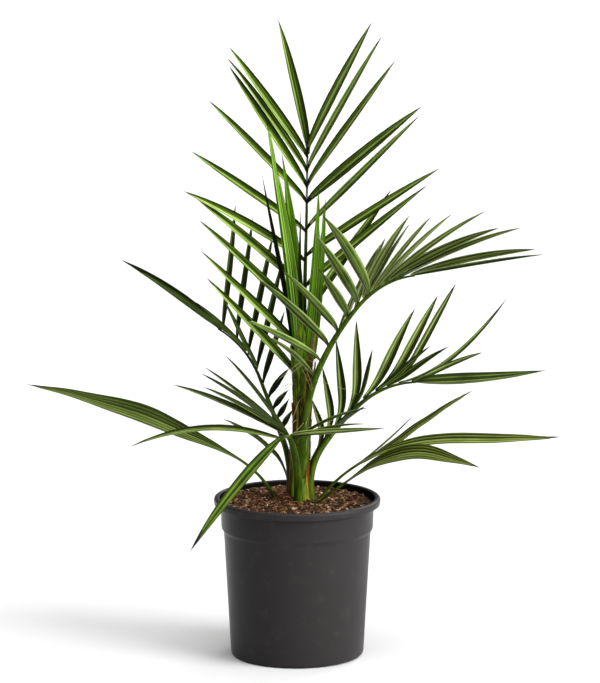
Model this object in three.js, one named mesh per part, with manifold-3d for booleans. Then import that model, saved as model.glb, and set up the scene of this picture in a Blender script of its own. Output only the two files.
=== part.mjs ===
// A young date palm in a round nursery pot, in millimetres, +Z up.
// The origin is the centre of the pot's underside. +X is to the right and -Y is the front.
// Every stem, rib and leaf is a run of stations along a curve; each frond has a rib and, on either
// side, a blade: a row of pointed leaflets that grow from one thin foot strip beside the rib.

import * as THREE from 'three';
import { mergeVertices } from 'three/addons/utils/BufferGeometryUtils.js';
import Module from 'manifold-3d';

const wasm = await Module();
wasm.setup();

// ---- driving dimensions ------------------------------------------------------------------------

const GAP = 0.3; // clearance between pieces that touch
const DEG = Math.PI / 180;

const POT_HEIGHT = 202;
const RIM_RADIUS = 105;
const BAND_RADIUS = 96.5;
const STEP_RADIUS = 92.6;
const FOOT_RADIUS = 85;
const LIP_HEIGHT = 9.5;
const BAND_BOTTOM = 163;
const STEP_BOTTOM = 158;
const POT_WALL = 1.6;
const POT_FLOOR = 2;
const POT_SIDES = 36;
const BAND_DRAFT = 0.9; // how much the band under the rim narrows towards its foot
const DRAIN_HOLES = 6;
const DRAIN_RADIUS = 5;
const DRAIN_RING = 58;
const DRAIN_SIDES = 10;

const SOIL_TOP = 196.5; // level ground that the stems stand on
const SOIL_LEVEL_RADIUS = 34;
const SOIL_EDGE = 193.5;
const SOIL_DIP = 3; // how much lower the soil lies at its back right edge
const SOIL_DIP_HEADING = 40;
const GROUND = SOIL_TOP + GAP;
const ROOTED = GROUND - 4; // where stems start, before the level cut at the ground

const TRUNK = {
  foot: [4, 4, GROUND],
  top: [8, 1, 388],
  radius: [14, 10, 9.5, 9.5, 10, 10.5, 12, 14.5],
};

const SPEAR_FOOT = TRUNK.top[2] + 3 * GAP;

const TRUNK_SIDES = 12;
const STEM_SIDES = 6;
const RIB_STATIONS = 14;
const BLADE_STATIONS = 10;
const STRIP_RADIUS = 0.8; // the foot strip that a frond's leaflets grow from
const STRIP_SIDES = 4;
const LEAFLET_THICKNESS = 1.1;
const LEAFLET_SIDES = 4;
// Half width of a leaflet along its length, as a share of its greatest half width.
const LEAFLET_SHARES = [0, 0.3, 0.68, 1];
const LEAFLET_OUTLINE = [0.2, 1, 0.64, 0];

// Each frond: where its rib starts, the rib's length, its rise and heading in degrees from foot to
// tip, its radius from foot to tip, and the station where a bent rib is split into stalk and rib.
// Each side gives its leaflets, lowest first: how many, where on the rib they grow, as shares of its
// length, their angle to the rib, their lift out of the frond's plane, their length and width, the
// arch between root and tip, and the twist that lowers their forward edge. One more leaflet closes
// the side at the rib's tip.
const FRONDS = [
  {
    name: 'tall frond',
    foot: [7, 12, 300], length: 337, rise: [85, 80, 75, 88], heading: [84],
    radius: [3.6, 3, 2, 1.2],
    right: {
      leaflets: 7, reach: [0.38, 0.61, 0.81, 0.93], spread: [33, 51, 60, 50, 57, 43, 38],
      lift: [6, 42], size: [190, 207, 211, 213], width: 9, arch: 0.02, twist: 0,
      end: { spread: 35, size: 200, width: 11 },
    },
    left: {
      leaflets: 10, reach: [0.14, 0.48, 0.81, 0.98],
      spread: [45, 49, 51, 56, 68, 64, 52, 40, 42, 42],
      lift: [31, 47], size: [183, 193, 194, 188], width: 9, arch: 0.02, twist: 0,
      end: { spread: 16, size: 171, width: 10 },
    },
  },
  {
    name: 'right frond',
    foot: [8, -9, 276], length: 295, rise: [90, 65, 47, 10], heading: [-17, -41],
    radius: [4, 3.6, 2.4, 1.2], split: 8,
    right: {
      leaflets: 7, reach: [0.29, 0.52, 0.75], spread: [65, 74, 68, 73, 60, 60, 60],
      lift: [9, 67, 29], size: [163, 130, 75, 180], width: 8, arch: 0.02, twist: 0,
      end: { spread: 6, size: 215, width: 8 },
    },
    left: {
      leaflets: 10, reach: [0.53, 0.72, 0.8, 0.91],
      spread: [49, 69, 80, 77, 84, 74, 61, 39, 12, 18],
      lift: [29, 30, 17], size: [117, 160, 141, 169], width: 8, arch: 0.02, twist: 20,
      end: { spread: 18, size: 159, width: 9 },
    },
  },
  {
    name: 'low right frond',
    foot: [17, 4, ROOTED], length: 228, rise: [105, 52, 36, -2], heading: [26, 15],
    radius: [5, 4, 2.4, 1.2], split: 6,
    right: {
      leaflets: 4, reach: [0.42, 0.81, 0.91], spread: [62, 62, 42, 43],
      lift: [16, 56, 49], size: [95, 75, 81], width: 7, arch: 0.02, twist: 0,
      end: { spread: 6, size: 168, width: 13, arch: -0.02 },
    },
    left: {
      leaflets: 8, reach: [0.38, 0.57, 0.84, 0.98], spread: [54, 51, 50, 50, 35, 43, 48, 36],
      lift: [49, 48, 59], size: [53, 100, 118, 144, 178], width: 9, arch: 0.02, twist: 0,
      end: { spread: 22, size: 100, width: 9 },
    },
  },
  {
    name: 'left frond',
    foot: [-11, 7, ROOTED], length: 248, rise: [102, 68, 67, 27], heading: [153, 164],
    radius: [5, 4, 2.4, 1.2], split: 6,
    right: {
      leaflets: 9, reach: [0.39, 0.54, 0.75, 0.98],
      spread: [64, 62, 70, 65, 44, 46, 53, 57, 63],
      lift: [17, 36, 37], size: [34, 34, 165, 200], width: 9, arch: 0.02, twist: 0,
      end: { spread: 6, size: 155, width: 11 },
    },
    left: {
      leaflets: 2, reach: [0.82, 0.91], spread: [53, 30], lift: [35, 27],
      size: [99, 70], width: 8, arch: 0.02, twist: 0,
      end: { spread: 36, size: 134, width: 11 },
    },
  },
  {
    name: 'front frond',
    foot: [2, -16, ROOTED], length: 140, rise: [89, 76, 49, -22], heading: [-110, -108],
    radius: [5, 4.6, 3.4, 1.6], split: 8,
    right: {
      leaflets: 5, reach: [0.68, 0.84], spread: [53, 77, 47, 37, 48], lift: [39, 26, 25],
      size: [130, 145, 128, 164], width: 9, arch: 0.03, twist: 45,
      end: { spread: 50, size: 204, width: 9, arch: 0.09 },
    },
    left: {
      leaflets: 2, reach: [0.69, 0.78], spread: [85, 99], lift: [16, 11],
      size: [92, 116], width: 8, arch: 0.03, twist: 45,
      end: { spread: -11, size: 237, width: 14, twist: -15 },
    },
  },
];

// Undivided leaves and spears: one blade along a curve. The half width and half thickness run from
// foot to tip at even steps, and the roll turns the blade about its own line. A lobe grows on
// another blade, at a share of that blade's length.
const PETIOLE_THICKNESS = [1.8, 1.6, 0.9, 0.6, 0.6, 0.6, 0.5, 0.4];
const SPEAR_THICKNESS = [2.2, 2.2, 2, 1.8, 1.4, 0.5];
const BLADES = [
  {
    name: 'left juvenile leaf',
    foot: [-26, 8, ROOTED], length: 360, rise: [66, 27, 24, 18, 13], heading: [188], roll: 35,
    half: [1.8, 1.7, 2, 7, 13, 15, 14, 10, 6, 0], thick: PETIOLE_THICKNESS,
  },
  {
    name: 'right juvenile leaf',
    foot: [26, 12, ROOTED], length: 332, rise: [54, 30, 6, 1, 7], heading: [-8], roll: -30,
    half: [1.8, 1.7, 2.4, 6, 9, 8, 7, 5, 3, 0], thick: PETIOLE_THICKNESS,
  },
  {
    name: 'right juvenile lobe', on: 'right juvenile leaf', share: 0.2,
    length: 176, rise: [27, 37, 30], heading: [4], roll: -30,
    half: [0.8, 2.5, 4, 4.5, 4, 3, 2, 0], thick: [0.6],
  },
  {
    name: 'right juvenile thin lobe', on: 'right juvenile leaf', share: 0.15,
    length: 116, rise: [32, 46], heading: [12], roll: -30,
    half: [0.8, 1.2, 1.5, 1.4, 1, 0], thick: [0.6],
  },
  {
    name: 'front juvenile leaf',
    foot: [19, -20, ROOTED], length: 252, rise: [37, 38, 24, -5, -13], heading: [-26], roll: -25,
    half: [1.7, 1.6, 1.6, 3.5, 7, 10, 10, 8, 4, 0], thick: PETIOLE_THICKNESS,
  },
  {
    name: 'back juvenile leaf',
    foot: [-12, 26, ROOTED], length: 142, rise: [100, 40, 20], heading: [166], roll: 20,
    half: [1.7, 1.6, 2, 4, 4.5, 4, 3, 0], thick: PETIOLE_THICKNESS,
  },
  {
    name: 'left spear',
    foot: [3, -5, SPEAR_FOOT], length: 296, rise: [88, 81, 79], heading: [180], roll: 90,
    half: [7, 9, 9.5, 7.5, 5, 0], thick: SPEAR_THICKNESS,
  },
  {
    name: 'left back spear',
    foot: [3.5, 5.5, SPEAR_FOOT], length: 250, rise: [89, 85, 81], heading: [180], roll: 90,
    half: [6, 7.5, 7.5, 6.5, 4.5, 0], thick: SPEAR_THICKNESS,
  },
  {
    name: 'right spear',
    foot: [13, 0, SPEAR_FOOT], length: 207, rise: [84, 86, 90], heading: [0], roll: -90,
    half: [5.6, 6.6, 6.6, 5.5, 4, 0], thick: SPEAR_THICKNESS,
  },
  {
    name: 'right back spear',
    foot: [17, 6, SPEAR_FOOT], length: 191, rise: [83, 86, 84], heading: [0], roll: -90,
    half: [5.6, 6.4, 6.4, 5.5, 4, 0], thick: SPEAR_THICKNESS,
  },
  {
    name: 'left spear leaflet',
    foot: [-3.5, 2, SPEAR_FOOT], length: 226, rise: [85, 78, 79], heading: [170], roll: 90,
    half: [1.5, 2.2, 2.4, 2, 1.2, 0], thick: [0.6],
  },
  {
    name: 'front spear leaflet',
    foot: [9, -9, SPEAR_FOOT], length: 181, rise: [84, 89, 93], heading: [190], roll: 90,
    half: [1.5, 1.8, 2, 1.6, 1, 0], thick: [0.6],
  },
];

// ---- finishes ----------------------------------------------------------------------------------

const finish = (color, roughness) => new THREE.MeshStandardMaterial({ color, roughness, metalness: 0 });
const POT_FINISH = finish('#3b3937', 0.42);
const SOIL_FINISH = finish('#5a3d27', 0.95);
const TRUNK_FINISH = finish('#6b6a2e', 0.7);
const RIB_FINISH = finish('#5d8a2a', 0.5);
const LEAF_FINISH = finish('#3f6420', 0.45);
const SPEAR_FINISH = finish('#5f9a26', 0.45);

// ---- solids ------------------------------------------------------------------------------------

// The value at a share of the way through a list of evenly spaced values.
function along(values, share) {
  const place = THREE.MathUtils.clamp(share, 0, 1) * (values.length - 1);
  const low = Math.min(Math.floor(place), Math.max(values.length - 2, 0));
  const high = Math.min(low + 1, values.length - 1);
  return THREE.MathUtils.lerp(values[low], values[high], place - low);
}

// A closed geometry as a solid: corners that meet are merged and empty triangles dropped.
function toSolid(geometry) {
  geometry.deleteAttribute('normal');
  geometry.deleteAttribute('uv');
  const merged = mergeVertices(geometry, 1e-3);
  const corners = merged.getIndex().array;
  const kept = [];
  for (let i = 0; i < corners.length; i += 3) {
    const [a, b, c] = corners.slice(i, i + 3);
    if (a !== b && b !== c && c !== a) kept.push(a, b, c);
  }
  return new wasm.Manifold(new wasm.Mesh({
    numProp: 3,
    vertProperties: new Float32Array(merged.getAttribute('position').array),
    triVerts: new Uint32Array(kept),
  }));
}

// Everything above the ground: what is cut by it ends in a level face.
const ROOM = 1200;
const overGround = toSolid(new THREE.BoxGeometry(ROOM, ROOM, ROOM).translate(0, 0, GROUND + ROOM / 2));

// A solid as a named mesh.
function toMesh(name, solid, material) {
  const { numProp, vertProperties, triVerts } = solid.getMesh();
  const places = new Float32Array((vertProperties.length / numProp) * 3);
  for (let i = 0; i < places.length / 3; i += 1) {
    places.set(vertProperties.subarray(i * numProp, i * numProp + 3), i * 3);
  }
  const geometry = new THREE.BufferGeometry();
  geometry.setAttribute('position', new THREE.BufferAttribute(places, 3));
  geometry.setIndex(new THREE.BufferAttribute(new Uint32Array(triVerts), 1));
  geometry.computeVertexNormals();
  const mesh = new THREE.Mesh(geometry, material);
  mesh.name = name.replaceAll(' ', '_');
  return mesh;
}

// A turned solid about the Z axis from a profile of [radius, height] pairs.
function turned(profile, sides) {
  const points = profile.map(([radius, height]) => new THREE.Vector2(radius, height));
  return new THREE.LatheGeometry(points, sides).rotateX(Math.PI / 2);
}

// A closed limb: a turned rod whose ring of `sides` corners at each station is an ellipse of the
// station's half width across and half thickness up.
function limb(stations, sides) {
  const last = stations.length - 1;
  const rings = stations.map((_, i) => new THREE.Vector2(1, i));
  const rod = [new THREE.Vector2(0, 0), ...rings, new THREE.Vector2(0, last)];
  const geometry = new THREE.LatheGeometry(rod, sides);
  const corners = geometry.getAttribute('position');
  for (let i = 0; i < corners.count; i += 1) {
    const { at, across, up, half, thick } = stations[Math.round(corners.getY(i))];
    const corner = at.clone()
      .addScaledVector(across, corners.getX(i) * half)
      .addScaledVector(up, corners.getZ(i) * thick);
    corners.setXYZ(i, corner.x, corner.y, corner.z);
  }
  const solid = toSolid(geometry);
  return stations[0].at.z < GROUND ? solid.intersect(overGround) : solid;
}

// ---- curves ------------------------------------------------------------------------------------

// Stations along a curve that starts at a foot and follows laws for its rise and heading. Each has
// its place, its direction `ahead`, and the frame `across` (to the right) and `up`, after the roll.
function curveOf({ foot, length, rise, heading, roll = 0 }, steps) {
  const stations = [];
  const at = new THREE.Vector3(...foot);
  let before = null;
  for (let i = 0; i <= steps; i += 1) {
    const e = along(rise, i / steps) * DEG;
    const h = along(heading, i / steps) * DEG;
    const ahead = new THREE.Vector3(Math.cos(e) * Math.cos(h), Math.cos(e) * Math.sin(h), Math.sin(e));
    const flatUp = new THREE.Vector3(-Math.sin(e) * Math.cos(h), -Math.sin(e) * Math.sin(h), Math.cos(e));
    if (before) at.addScaledVector(ahead.clone().add(before), length / steps / 2);
    before = ahead;
    const across = ahead.clone().cross(flatUp).applyAxisAngle(ahead, -roll * DEG);
    const up = flatUp.applyAxisAngle(ahead, -roll * DEG);
    stations.push({ share: i / steps, at: at.clone(), ahead, across, up });
  }
  return stations;
}

// The frame of a curve at any share of its length, between its stations.
function frameAt(stations, share) {
  const place = share * (stations.length - 1);
  const low = Math.min(Math.floor(place), stations.length - 2);
  const [a, b] = [stations[low], stations[low + 1]];
  const mix = (key) => a[key].clone().lerp(b[key], place - low);
  return {
    at: mix('at'),
    ahead: mix('ahead').normalize(),
    across: mix('across').normalize(),
    up: mix('up').normalize(),
  };
}

const withSize = (stations, half, thick = half) => stations.map((station) => ({
  ...station, half: along(half, station.share), thick: along(thick, station.share),
}));

// 1 at the last station, -1 at the first and 0 between them.
const endward = (i, count) => Number(i === count - 1) - Number(i === 0);

// The same limb with clearance all round and past both ends, to cut a seat for it.
const widened = (stations) => stations.map((station, i) => ({
  ...station,
  at: station.at.clone().addScaledVector(station.ahead, endward(i, stations.length) * GAP),
  half: station.half + GAP,
  thick: station.thick + GAP,
}));

// ---- pot and soil ------------------------------------------------------------------------------

function potSolid() {
  const lipBottom = POT_HEIGHT - LIP_HEIGHT;
  const outside = [
    [0, 0], [FOOT_RADIUS - 4, 0], [FOOT_RADIUS - 1.2, 1.2], [FOOT_RADIUS, 4],
    [STEP_RADIUS, STEP_BOTTOM], [BAND_RADIUS - BAND_DRAFT, BAND_BOTTOM], [BAND_RADIUS, lipBottom],
    [RIM_RADIUS - 1, lipBottom + 0.6], [RIM_RADIUS, lipBottom + 2.5],
    [RIM_RADIUS, POT_HEIGHT - 3], [RIM_RADIUS - 1.5, POT_HEIGHT - 0.7], [RIM_RADIUS - 4, POT_HEIGHT],
  ];
  const inside = [
    [RIM_RADIUS - 7.5, POT_HEIGHT - 1.2], [BAND_RADIUS - POT_WALL, lipBottom - 3],
    [BAND_RADIUS - BAND_DRAFT - POT_WALL, BAND_BOTTOM + 1], [STEP_RADIUS - POT_WALL, STEP_BOTTOM + 1],
    [FOOT_RADIUS - POT_WALL, 4.6], [FOOT_RADIUS - 4, POT_FLOOR], [0, POT_FLOOR],
  ];
  let pot = toSolid(turned([...outside, ...inside], POT_SIDES));
  for (let i = 0; i < DRAIN_HOLES; i += 1) {
    const hole = new THREE.CylinderGeometry(DRAIN_RADIUS, DRAIN_RADIUS, 4 * POT_FLOOR, DRAIN_SIDES)
      .rotateX(Math.PI / 2)
      .translate(DRAIN_RING, 0, 0)
      .rotateZ((2 * Math.PI * i) / DRAIN_HOLES);
    pot = pot.subtract(toSolid(hole));
  }
  return pot;
}

// The soil fills the pot up to a level middle and falls away towards the wall, most at one side.
function soilSolid() {
  const edge = BAND_RADIUS - POT_WALL - 3 * GAP;
  const geometry = turned([
    [0, POT_FLOOR + GAP], [FOOT_RADIUS - 5, POT_FLOOR + GAP], [FOOT_RADIUS - POT_WALL - 1, 6],
    [STEP_RADIUS - POT_WALL - 2 * GAP, STEP_BOTTOM], [edge - BAND_DRAFT, BAND_BOTTOM + 2],
    [edge, SOIL_EDGE], [80, SOIL_EDGE + 0.8], [60, SOIL_TOP - 1], [SOIL_LEVEL_RADIUS, SOIL_TOP],
    [0, SOIL_TOP],
  ], POT_SIDES);
  const corners = geometry.getAttribute('position');
  for (let i = 0; i < corners.count; i += 1) {
    const [x, y, z] = [corners.getX(i), corners.getY(i), corners.getZ(i)];
    const outward = Math.hypot(x, y) - SOIL_LEVEL_RADIUS;
    if (z >= SOIL_EDGE && outward > 1) {
      const facing = (1 + Math.cos(Math.atan2(y, x) - SOIL_DIP_HEADING * DEG)) / 2;
      corners.setZ(i, z - (SOIL_DIP * facing * outward) / (edge - SOIL_LEVEL_RADIUS));
    }
  }
  return toSolid(geometry);
}

// ---- plant -------------------------------------------------------------------------------------

function trunkStations() {
  const foot = new THREE.Vector3(...TRUNK.foot);
  const top = new THREE.Vector3(...TRUNK.top);
  const ahead = new THREE.Vector3(0, 0, 1);
  const up = new THREE.Vector3(0, 1, 0);
  const across = ahead.clone().cross(up);
  return TRUNK.radius.map((radius, i) => {
    const share = i / (TRUNK.radius.length - 1);
    return { at: foot.clone().lerp(top, share), ahead, across, up, half: radius, thick: radius };
  });
}

// One leaflet: a thin pointed limb from its root, arched a little between root and tip. Its width
// runs towards its forward edge, square to its own line.
function leaflet(root, direction, forward, { size, width, arch, twist }) {
  const across = forward.clone().addScaledVector(direction, -forward.dot(direction)).normalize()
    .applyAxisAngle(direction, twist);
  const up = across.clone().cross(direction);
  const stations = LEAFLET_SHARES.map((share, i) => ({
    at: root.clone()
      .addScaledVector(direction, size * share)
      .add(new THREE.Vector3(0, 0, 4 * arch * size * share * (1 - share))),
    across,
    up,
    half: (width / 2) * LEAFLET_OUTLINE[i],
    thick: (LEAFLET_THICKNESS / 2) * (i < LEAFLET_SHARES.length - 1 ? 1 : 0),
  }));
  return limb(stations, LEAFLET_SIDES);
}

// The direction at an angle from one direction towards another that is square to it.
const turnedFrom = (ahead, out, angle) => ahead.clone().multiplyScalar(Math.cos(angle))
  .addScaledVector(out, Math.sin(angle));

// Straight out from a rib on one side, lifted out of the frond's plane.
const outward = (frame, hand, lift) => turnedFrom(
  frame.across.clone().multiplyScalar(hand), frame.up, lift,
);

// A leaflet that leaves a rib at an angle, with its forward edge towards the frond's tip.
function leafletFrom(root, frame, hand, lift, shape) {
  const out = outward(frame, hand, lift);
  const spread = shape.spread * DEG;
  const direction = turnedFrom(frame.ahead, out, spread);
  const forward = turnedFrom(frame.ahead, out, spread - Math.PI / 2);
  return leaflet(root, direction, forward, { ...shape, twist: -hand * shape.twist * DEG });
}

// The blade on one side of a frond: a foot strip beside the rib and the leaflets that grow on it,
// trimmed clear of the rib.
function bladeSolid(rib, side, hand) {
  const [start, end] = [side.reach[0], side.reach.at(-1)];
  const liftAt = (share) => along(side.lift, (share - start) / (end - start)) * DEG;
  const first = Math.floor(start * RIB_STATIONS);
  const strip = rib.stations.slice(first).map((frame) => ({
    ...frame,
    at: frame.at.clone().addScaledVector(
      outward(frame, hand, liftAt(frame.share)), frame.half + 1.3 * GAP + STRIP_RADIUS,
    ),
    half: STRIP_RADIUS,
    thick: STRIP_RADIUS,
  }));
  let blade = limb(strip, STRIP_SIDES);
  for (let i = 0; i < side.leaflets; i += 1) {
    const order = i / (side.leaflets - 1);
    const share = along(side.reach, order);
    const root = frameAt(strip, (share * RIB_STATIONS - first) / (RIB_STATIONS - first)).at;
    const shape = { ...side, spread: along(side.spread, order), size: along(side.size, order) };
    blade = blade.add(leafletFrom(root, frameAt(rib.stations, share), hand, liftAt(share), shape));
  }
  return blade.subtract(limb(widened(rib.stations), STEM_SIDES));
}

// The leaflet that closes one side, just past the rib's tip.
function endLeafletSolid(rib, side, hand) {
  const frame = rib.stations.at(-1);
  const shape = { ...side, ...side.end };
  const lift = along(side.lift, 1) * DEG;
  const rootHalf = (shape.width / 2) * LEAFLET_OUTLINE[0];
  const root = frame.at.clone()
    .addScaledVector(frame.ahead, 2 * GAP + rootHalf * Math.abs(Math.sin(shape.spread * DEG)))
    .addScaledVector(outward(frame, hand, lift), rootHalf + 2 * GAP);
  return leafletFrom(root, frame, hand, lift, shape);
}

function ribOf(frond) {
  const stations = withSize(curveOf(frond, RIB_STATIONS), frond.radius);
  return { ...frond, stations };
}

const bladeStations = (blade) => withSize(curveOf(blade, BLADE_STATIONS), blade.half, blade.thick);

// A lobe starts on the line of the blade that carries it and is trimmed clear of that blade.
function lobeSolid(lobe) {
  const carrier = bladeStations(BLADES.find(({ name }) => name === lobe.on));
  const foot = frameAt(carrier, lobe.share).at.toArray();
  return limb(bladeStations({ ...lobe, foot }), STEM_SIDES)
    .subtract(limb(widened(carrier), STEM_SIDES));
}

// ---- assembly ----------------------------------------------------------------------------------

const palm = new THREE.Group();
const ribs = FRONDS.map(ribOf);

palm.add(toMesh('pot', potSolid(), POT_FINISH));
palm.add(toMesh('soil', soilSolid(), SOIL_FINISH));

// The trunk is hollowed round the stalks that grow against it.
let trunk = limb(trunkStations(), TRUNK_SIDES);
for (const rib of ribs) trunk = trunk.subtract(limb(widened(rib.stations), STEM_SIDES));
palm.add(toMesh('trunk', trunk, TRUNK_FINISH));

for (const rib of ribs) {
  const { name, split, stations } = rib;
  if (split) {
    const upper = stations.slice(split);
    upper[0] = { ...upper[0], at: upper[0].at.clone().addScaledVector(upper[0].ahead, GAP) };
    palm.add(toMesh(`${name} stalk`, limb(stations.slice(0, split + 1), STEM_SIDES), RIB_FINISH));
    palm.add(toMesh(`${name} rib`, limb(upper, STEM_SIDES), RIB_FINISH));
  } else {
    palm.add(toMesh(`${name} rib`, limb(stations, STEM_SIDES), RIB_FINISH));
  }
  for (const [side, hand] of [['right', 1], ['left', -1]]) {
    palm.add(toMesh(`${name} ${side} blade`, bladeSolid(rib, rib[side], hand), LEAF_FINISH));
    const endLeaflet = endLeafletSolid(rib, rib[side], hand);
    palm.add(toMesh(`${name} ${side} end leaflet`, endLeaflet, LEAF_FINISH));
  }
}

for (const blade of BLADES) {
  const material = blade.name.includes('spear') ? SPEAR_FINISH : LEAF_FINISH;
  const solid = blade.on ? lobeSolid(blade) : limb(bladeStations(blade), STEM_SIDES);
  palm.add(toMesh(blade.name, solid, material));
}

export default palm;
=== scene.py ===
"""A young date palm in a black nursery pot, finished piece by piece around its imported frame.

The laws of the fronds, leaves and stems follow the frame's, in millimetres and degrees, +Z up. Each
surface is worked out on a grid in metres: rows run along a piece, and columns run once round it.
"""

import math

import bpy
import numpy as np
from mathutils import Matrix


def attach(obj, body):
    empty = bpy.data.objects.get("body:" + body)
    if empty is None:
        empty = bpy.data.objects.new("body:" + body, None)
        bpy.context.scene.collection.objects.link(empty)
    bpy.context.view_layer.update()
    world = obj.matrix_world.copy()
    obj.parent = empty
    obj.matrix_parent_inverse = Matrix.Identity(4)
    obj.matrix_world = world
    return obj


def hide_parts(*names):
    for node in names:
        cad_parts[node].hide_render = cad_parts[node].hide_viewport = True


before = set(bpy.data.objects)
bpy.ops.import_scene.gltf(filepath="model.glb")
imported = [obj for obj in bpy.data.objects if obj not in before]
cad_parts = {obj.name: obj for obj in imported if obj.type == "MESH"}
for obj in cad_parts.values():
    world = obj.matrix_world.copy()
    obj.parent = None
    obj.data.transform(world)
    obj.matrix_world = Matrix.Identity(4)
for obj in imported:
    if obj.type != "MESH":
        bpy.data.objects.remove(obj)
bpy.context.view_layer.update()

# ---- driving dimensions, in millimetres and degrees ----

MM = 0.001
GAP = 0.3  # clearance between the frame's touching pieces

POT_HEIGHT = 202
RIM_RADIUS = 105
BAND_RADIUS = 96.5
STEP_RADIUS = 92.6
FOOT_RADIUS = 85
LIP_HEIGHT = 9.5
BAND_BOTTOM = 163
STEP_BOTTOM = 158
POT_WALL = 1.6
POT_FLOOR = 2
BAND_DRAFT = 0.9
POT_SIDES = 144
DRAIN_HOLES = 6
DRAIN_RADIUS = 5
DRAIN_RING = 58
DRAIN_SIDES = 32
CORNER_ROWS = 6  # rows round each rounded corner of the pot's profile
LIP_ROWS = 8  # rows from the rim's top to where the pot's inside begins

SOIL_TOP = 196.5
SOIL_LEVEL_RADIUS = 34
SOIL_DIP = 2.5
SOIL_DIP_HEADING = 40
GROUND = SOIL_TOP + GAP
ROOTED = GROUND - 4
MOUND = {"at": (-14, -8), "radius": 12, "height": 9}  # matted fibre between the stems' feet
SOIL_SIDES = 120
SOIL_RINGS = 64
# Seeded litter: how many pieces, and from and to what each measure runs. Chips give their length in
# millimetres, their width and height as shares of it, and the share of each tone; fibres are in metres.
BARK_CHIPS = {
    "count": 3600, "long": (1.2, 3.4), "wide": (0.4, 0.9), "flat": (0.18, 0.5), "edge": (0.7, 1.15),
    "lies": (-0.0006, 0.0012), "tones": (0.3, 0.28, 0.19, 0.17, 0.06),
}
COIR = {"count": 620, "size": (0.003, 0.009), "radius": (0.0002, 0.0005), "tones": (0.4, 0.2, 0.4)}

TRUNK = {
    "foot": (4, 4, GROUND),
    "top": (8, 1, 388),
    "radius": (14, 10, 9.5, 9.5, 10, 10.5, 12, 14.5),
}
SPEAR_FOOT = TRUNK["top"][2] + 3 * GAP
TRUNK_SIDES = 96
TRUNK_ROWS = 120
TRUNK_CROWN = 12  # the rows that draw in at the trunk's top
# Fibres on the trunk: starts and climbs in millimetres, the rest in metres and radians.
STRANDS = {
    "count": 260, "low": (196, 350), "climb": (18, 60), "drift": 0.35, "off": (0.0016, 0.0035),
    "radius": (0.0002, 0.00045), "tones": (0.5, 0.2, 0.3),
}
HAIRS = {
    "count": 22, "low": (270, 385), "faces": (-3.3, -0.1), "size": (0.012, 0.034), "turn": 1.1,
    "climb": (0.1, 0.9), "radius": (0.00022, 0.00036),
}

STRIP_REACH = 1.3 * GAP + 0.8  # how far a leaflet's seat stands off its rib in the frame
LEAFLET_THICKNESS = 0.55
ROOT_WIDTH = 0.2  # a leaflet's width at its root in the frame, as a share of its greatest
ROOT_SUNK = 0.35  # how far out from a rib's centre its leaflets start, as a share of its radius
LAST_ROOT_DEPTH = 2  # how far below the rib's tip its last leaflets start
MIDRIB_KEEL = 0.0004  # how far a leaflet's midrib stands out below, in metres
FULLNESS = 1.26  # how much wider a leaflet lies flat than it shows folded
ROOT_HOOK = 3  # how far a leaflet's root bends back down the rib
# How unevenly leaflets grow: angles in degrees, bow and sag as shares of their length, and the share
# of them that end dry and the shares of their length that the dry tip takes.
UNEVEN = {"twist": 5, "bow": 0.007, "sag": 0.006, "curl": 9, "fold": 0.12, "dried": 0.2, "dry": (0.01, 0.03)}
# Undivided leaves: how deep a pleat is, as a share of their half width, the height of a ripple along
# them and of the keel under them, in metres, their least half width in millimetres, the half width in
# metres up to which they are a stalk and over how much more they open, and the base's and point's share.
PLEATED = {
    "depth": 0.16, "ripple": 0.0006, "waves": 21, "keel": 0.0003, "least_half": 0.15,
    "stalk_half": 0.0018, "opens_over": 0.004, "base": 0.22, "lobe_base": 0.02, "point": 0.05,
}
# A spear's leaflets: how much lower each ends beyond the tallest, as shares of its length, how far it
# lies behind, in metres, its lean and sway in degrees, its half thickness and how far it stands folded.
PACKED = {
    "rows": 44, "lower": 0.1, "ragged": 0.07, "behind": 0.0011, "lean": 18, "sway": 6,
    "half_thick": 0.00045, "fold": (0.35, 0.65), "least_half": 0.00015,
}
RIB_COLUMNS = 16
RIB_ROWS = 84
SPEAR_SUNK = 12  # how far a spear's foot reaches down inside the trunk
SHEATH_COLUMNS = 15

SEEDS = {
    "ground": 5, "bark": 11, "trunk": 21, "sheath": 30, "fibre": 41, "frond": 50, "juvenile": 60,
    "spear": 70,
}

# What a frond or a side of one says only where it differs: the share of its length where the stalk's
# colour ends, how much thicker it is than in the frame, its leaflets' arch and twist, the shares of a
# leaflet that its base and its dark point take, and how far its root bends back down the rib, over
# what share of the leaflet.
USUAL = {
    "stalk_ends": 0.5, "stout": 1, "arch": 0.02, "twist": 0, "base": 0.028, "dark_tip": 0.05,
    "hook": ROOT_HOOK, "hook_run": 0.035,
}

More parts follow.
